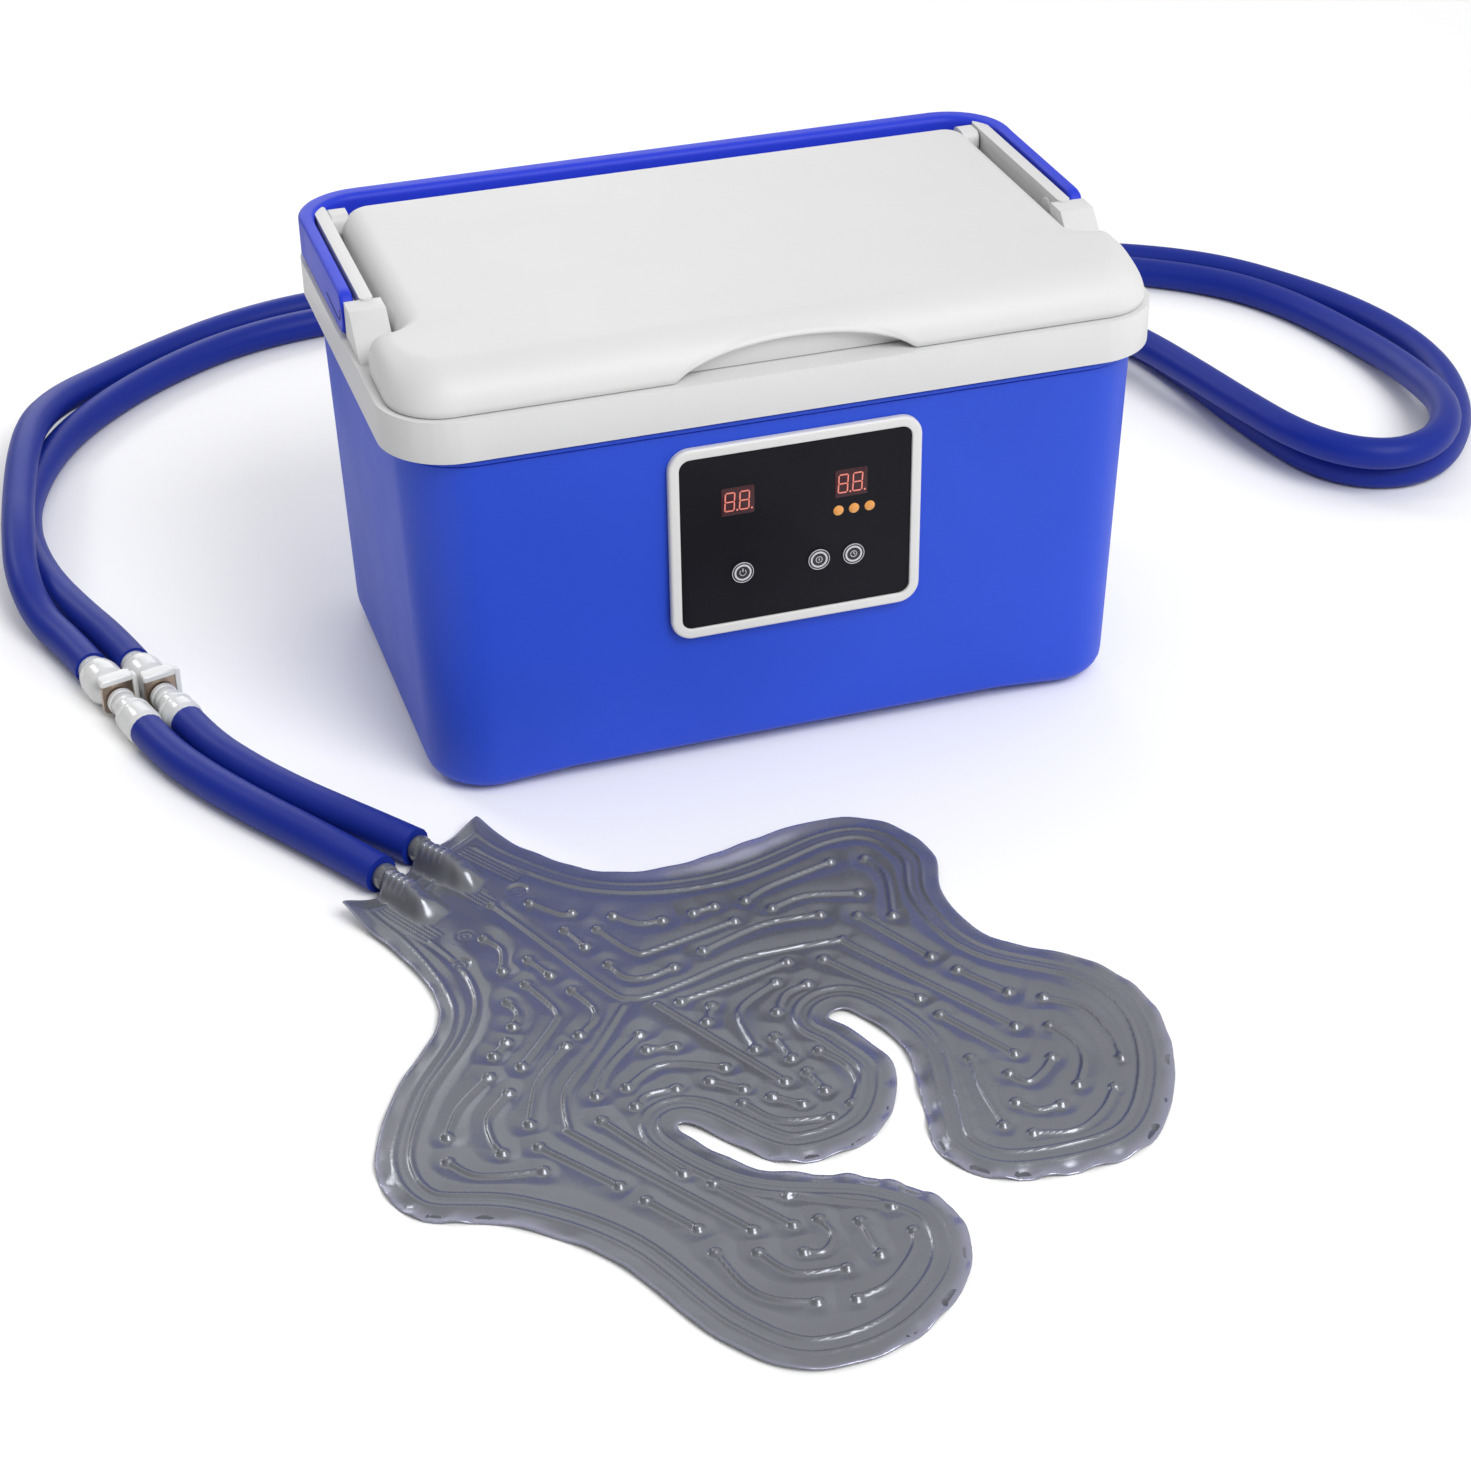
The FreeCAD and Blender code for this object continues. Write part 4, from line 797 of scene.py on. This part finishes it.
def film_relief(x, y, depth, edge_run, near_x, near_y, lines):
    """Height of the upper film, of its weld plane and of the lower film, and where the film is painted paler, a painted
    highlight among it.
    """
    weld, _, weld_x, weld_y = nearest(lines, x, y)
    outer, inner = rim_welds(x, y)
    x, y = pulled(x, y, np.where(depth > 1.0, weld_x, x + 9), weld_y, PULL)
    weld = np.where(np.hypot(weld_x - x, weld_y - y) < 1e-9, 0.0, weld)
    safe = np.maximum(depth, 1e-3)
    for offset in (outer, inner):
        tx, ty = near_x + (x - near_x) / safe * offset, near_y + (y - near_y) / safe * offset
        moved = np.abs(depth - offset) < PULL
        x, y = np.where(moved, tx, x), np.where(moved, ty, y)
        depth = np.where(moved, offset, depth)
    to_outer, to_inner = np.abs(depth - outer), np.abs(depth - inner)

    # Balls end each dash and the film dips round them.
    ball = np.full(x.shape, 1e9)
    for line in lines:
        for cx, cy in (line[0], line[-1]):
            if math.hypot(cx - JUNCTION[0], cy - JUNCTION[1]) > 11:
                ball = np.minimum(ball, np.hypot(x - cx, y - cy))
    ball = np.where(depth < inner + 1.0, 99.0, ball)
    groove = np.minimum(np.minimum(weld, to_inner), to_outer)
    groove = np.minimum(groove, np.maximum(ball - 1.5, 0) * 0.8)
    swell = 1.0 - np.exp(-(groove / 4.5) ** 1.6)
    wide = smoothstep(np.minimum(weld, np.maximum(inner - depth, depth - inner)), 1.0, 11.0)
    field = 0.8 * swell + 0.45 * wide * (depth > inner)
    tube = 0.5 * swell * (depth > outer) * (depth <= inner)
    hem = 0.25 * (1 - np.exp(-(to_outer / 3.0) ** 1.4))
    margin = np.where(depth > outer, 0.35 * swell + tube, hem * smoothstep(depth, 0, 3))
    height = np.where(depth > inner, field, margin)
    slack = smoothstep(-np.hypot(x + 170, y + 205), -62, -22)
    folds = drift(x + 0.6 * y, y * 0.55, 9, 3) * 0.55 + drift(x, y + 0.5 * x, 16, 4) * 0.75
    height += (0.12 * drift(x, y, 19, 7) + slack * folds) * swell * (depth > outer)
    crimp = np.sin(2 * math.pi * edge_run / 9.5 + 3.0 * drift(x, y, 23, 5))
    lobe = smoothstep(-y, 300, 400) * smoothstep(np.abs(x + 150) + 0.2 * (y + 400), 20, 60)
    height += 0.10 * lobe * crimp * swell * np.exp(-np.abs(depth - inner - 2) / 3.0) * (depth > inner)
    bead = (1.6 * np.exp(-(weld / 0.9) ** 2) + 1.35 * np.exp(-(to_inner / 1.0) ** 2)
            + 0.9 * np.exp(-(to_outer / 0.9) ** 2))
    ball_radius = 2.3
    ball_top = ball_radius * np.sqrt(np.clip(1 - (ball / ball_radius) ** 2, 0, 1))
    plane = 2.5 + 0.45 * drift(x, y, 60, 11)
    wave = np.sin(2 * math.pi * edge_run / 21 + 2.6 * drift(x, y, 45, 13))
    turned = smoothstep(outer - depth, 0.5, 6.0)
    plane = plane - turned * (0.35 + 1.1 * lobe) + turned * wave * (0.22 + 0.75 * lobe)
    upper_hem = np.exp(-((x + 52) / 46) ** 2) * smoothstep(y, -232, -205) * (depth < outer)
    plane = plane + 2.6 * upper_hem * smoothstep(outer - depth, 0, 9)
    top = plane + height + np.maximum(bead, ball_top)

    # The film is painted paler in a band along its edge, wider at the lobes; on the raised upper hem the paler colour
    # is a painted highlight.
    light = 0.75 * np.exp(-(depth / (0.9 + 2.6 * lobe)) ** 2)
    light = np.maximum(light, upper_hem * smoothstep(outer - depth, 1, 6))
    # The neck: ribbed seals beside and between two tunnels over the spigots.
    for cx, cy in ((-181, -209), (-152, -184), (-188, -228)):
        spot = np.hypot(x - cx, y - cy)
        ringed = plane + 0.7 * np.exp(-((spot - 2.7) / 0.75) ** 2) + 0.7 * np.exp(-(spot / 1.1) ** 2)
        top = np.where(spot < 5.0, np.minimum(top, ringed + np.maximum(spot - 3.8, 0) * 2), top)
    for start, end in (((-189, -148), (-166, -189)), ((-209, -179), (-194, -206)), ((-167, -147), (-149, -175))):
        run, side, length = along_line(x, y, start, end)
        inside = smoothstep(run, -1.5, 0.5) * smoothstep(length + 1.5 - run, 0, 2.0)
        inside = inside * smoothstep(5.4 - np.abs(side), 0, 1.0)
        ribs = plane + 0.5 + 0.42 * np.cos(2 * math.pi * side / 2.1)
        top = top * (1 - inside) + ribs * inside
    for route in (PAD_ROUTE_A, PAD_ROUTE_B):
        begin, before = np.array(route[-1][:2], float), np.array(route[-2][:2], float)
        run, side, _ = along_line(x, y, begin, begin + (begin - before))
        fall = 1 - smoothstep(run, 20, 42)
        crumple = 1 + 0.45 * smoothstep(run, 19, 26) * drift(x, y, 5.5, 17) * (1 - smoothstep(run, 36, 44))
        over = (13.7 - plane) * np.exp(-(np.abs(side) / (5.6 + 0.05 * np.maximum(run, 0))) ** 3.0) * fall * crumple
        rib = np.clip(np.cos(2 * math.pi * (run - 8) / 3.4), 0, 1) ** 3
        rib = rib * smoothstep(run, 4.5, 6) * (1 - smoothstep(run, 19.5, 21))
        rib *= smoothstep(5.6 - np.abs(side), 0, 1.5)
        top = np.maximum(top, plane + over + 0.55 * rib * (over > 4))
        # The neck's ribs are painted paler as well.
        light = np.maximum(light, 0.8 * rib)
    # Two corners of the neck curl up.
    lift = (8.0 * np.exp(-(np.hypot(x + 229, y + 176) / 12) ** 2)
            + 4.5 * np.exp(-(np.hypot(x + 155, y + 124) / 13) ** 2))
    under = plane - 0.75 * np.clip(height, 0, 1.4) - 0.25 + lift
    under = np.clip(under, 0.3, None)
    return x, y, np.maximum(top + lift, under + 0.55), under, light


def chained(starts, ends):
    """Boundary edges in order round the loop."""
    follow = dict(zip(starts.tolist(), ends.tolist()))
    first = starts.tolist()[0]
    loop, at = [first], follow[first]
    while at != first:
        loop.append(at)
        at = follow[at]
    return loop


def add_wrap():
    """The pad: a fine grid for the upper film, walls round the rim and a coarse lower film."""
    edge = np.vstack([smooth_line(PAD_EDGE, 8), np.array(NECK_EDGE, float)])
    loop = np.vstack([edge, edge[:1]])
    xs, ys = np.arange(-262, 90, GRID), np.arange(-508, -112, GRID)
    x, y = np.meshgrid(xs, ys, indexing="ij")
    gap, edge_run, near_x, near_y = nearest([loop], x, y)
    depth = np.where(is_inside(edge, x, y), gap, -gap)
    kept = depth > -0.5 * GRID
    cells = kept[:-1, :-1] & kept[1:, :-1] & kept[1:, 1:] & kept[:-1, 1:]
    used, covered = np.zeros(x.shape, bool), np.zeros(x.shape, int)
    for di in (0, 1):
        for dj in (0, 1):
            part = (slice(di, x.shape[0] - 1 + di), slice(dj, x.shape[1] - 1 + dj))
            used[part] |= cells
            covered[part] += cells
    rim = used & (covered < 4)
    x, y = np.where(rim, near_x, x), np.where(rim, near_y, y)
    depth = np.where(rim, 0.0, depth)
    lines = [smooth_line(np.reshape(weld, (-1, 2)), 5) for weld in WELDS]
    x, y, top, under, light = film_relief(x, y, depth, edge_run, near_x, near_y, lines)

    index = -np.ones(x.shape, int)
    index[used] = np.arange(used.sum())
    count = int(used.sum())
    upper = np.column_stack([x[used], y[used], top[used]])
    i, j = np.nonzero(cells)
    quads = np.column_stack([index[i, j], index[i + 1, j], index[i + 1, j + 1], index[i, j + 1]])
    starts, ends = [], []
    framed = np.zeros((cells.shape[0] + 2, cells.shape[1] + 2), bool)
    framed[1:-1, 1:-1] = cells
    for (di, dj), a, b in (((-1, 0), (0, 1), (0, 0)), ((1, 0), (1, 0), (1, 1)),
                           ((0, -1), (0, 0), (1, 0)), ((0, 1), (1, 1), (0, 1))):
        bare = cells & ~framed[1 + di:cells.shape[0] + 1 + di, 1 + dj:cells.shape[1] + 1 + dj]
        bi, bj = np.nonzero(bare)
        starts.append(index[bi + a[0], bj + a[1]])
        ends.append(index[bi + b[0], bj + b[1]])
    ring = chained(np.concatenate(starts), np.concatenate(ends))

    # The lower film needs few points: the rim's own, and a coarse grid inside.
    coarse = (slice(0, None, 8), slice(0, None, 8))
    inner = depth[coarse] > 3.0
    inner_points = np.column_stack([x[coarse][inner], y[coarse][inner], under[coarse][inner]])
    under_rim = under[used][ring]
    rim_points = np.column_stack([upper[ring][:, :2], under_rim])
    flat = [Vector(p[:2]) for p in rim_points] + [Vector(p[:2]) for p in inner_points]
    edges = [(k, (k + 1) % len(ring)) for k in range(len(ring))]
    out_points, _, out_faces, origin, _, _ = delaunay_2d_cdt(flat, edges, [], 1, 1e-7)
    lower_all = np.vstack([rim_points, inner_points])
    source = [ids[0] if ids else -1 for ids in origin]
    lower = [lower_all[k] if k >= 0 else (place[0], place[1], 0.5) for k, place in zip(source, out_points)]
    where = {s: count + k for k, s in enumerate(source) if s >= 0}
    bottom = [tuple(reversed([count + v for v in face])) for face in out_faces]
    walls = [(ring[a], where[a], where[b], ring[b]) for a, b in edges if a in where and b in where]
    faces = quads.tolist() + bottom + walls
    mesh = bpy.data.meshes.new("wrap_pad")
    mesh.from_pydata((np.vstack([upper, np.array(lower)]) * MM).tolist(), [], faces)
    mesh.materials.append(FILM)
    mesh.materials.append(UNDERSIDE)
    slots = np.zeros(len(faces), np.int32)
    # A lower face that joins the rim to the inside is film; the others are the underside's own cloth.
    at_rim = [[v < count + len(ring) for v in face] for face in bottom]
    slots[len(quads):len(quads) + len(bottom)] = [all(face) or not any(face) for face in at_rim]
    mesh.polygons.foreach_set("material_index", slots)
    mesh.shade_smooth()
    # The rim attribute holds the paler edge band and ribs, and the painted highlight on the upper hem.
    mark = mesh.attributes.new("rim", "FLOAT", "POINT")
    mark.data.foreach_set("value", np.concatenate([light[used], np.zeros(len(lower))]))
    mesh.update()
    pad = placed("wrap_pad", mesh)
    declare(pad, "wrap", ("pad",))


add_wrap()


# -------- CAD nodes that keep their shape

FINISHES = {
    FOAM: ["foam_insulation", "lid_insulation"],
    TANK_WHITE: ["inner_tank", "lid_liner", "pump_strainer"],
    RUBBER: ["rubber_feet"],
    GASKET: ["lid_gasket"],
    STEEL: ["hinge_pins", "handle_pins", "board_screws", "impeller_shaft", "temperature_probe"],
    BLACK: ["tact_switches", "pump_housing", "impeller", "dc_jack", "hose_gland", "bulkhead_supply", "bulkhead_return"],
    BOARD: ["control_board"],
    FERRITE: ["motor_magnet"],
    COPPER: ["motor_coil"],
}
for finish, names in FINISHES.items():
    for node in names:
        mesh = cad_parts[node].data
        for k in range(len(mesh.materials)):
            mesh.materials[k] = finish
        if len(mesh.materials) == 0:
            mesh.materials.append(finish)


# -------- the studio

floor_mesh = bpy.data.meshes.new("studio_floor")
floor_mesh.from_pydata([(-6, -6, 0), (6, -6, 0), (6, 6, 0), (-6, 6, 0)], [], [(0, 1, 2, 3)])
floor_mesh.materials.append(FLOOR)
studio_floor = placed("studio_floor", floor_mesh)
world = bpy.data.worlds.new("studio")
scene.world = world
world.use_nodes = True
tree = world.node_tree
sky = tree.nodes["Background"]
place = tree.nodes.new("ShaderNodeTexCoord")
toward = tree.nodes.new("ShaderNodeVectorMath")
toward.operation = "DOT_PRODUCT"
toward.inputs[1].default_value = (0.7, 0.12, 0.7)
tree.links.new(place.outputs["Generated"], toward.inputs[0])
span = tree.nodes.new("ShaderNodeMapRange")
span.inputs["From Min"].default_value = -1.0
tree.links.new(toward.outputs["Value"], span.inputs["Value"])
glow = ramp_node(tree, span.outputs["Result"], [(0.2, (0.2, 0.2, 0.2, 1)), (0.85, (1, 1, 1, 1))])
tree.links.new(glow, sky.inputs["Color"])
sky.inputs["Strength"].default_value = 0.72
add_lamp("back_light", (-0.3, 1.5, 2.1), (-0.1, -0.1, 0), 1.4, 2)
add_lamp("glint_light", (-1.1, 1.5, 1.25), (-0.1, -0.3, 0), 0.5, 7)
add_lamp("rear_strip", (0.1, 2.1, 0.75), (-0.1, -0.2, 0), 1.5, 9)
add_lamp("front_light", (0.6, -1.8, 2.0), (0, -0.1, 0.05), 1.6, 50)
scene.view_settings.view_transform = "Standard"
add_camera()
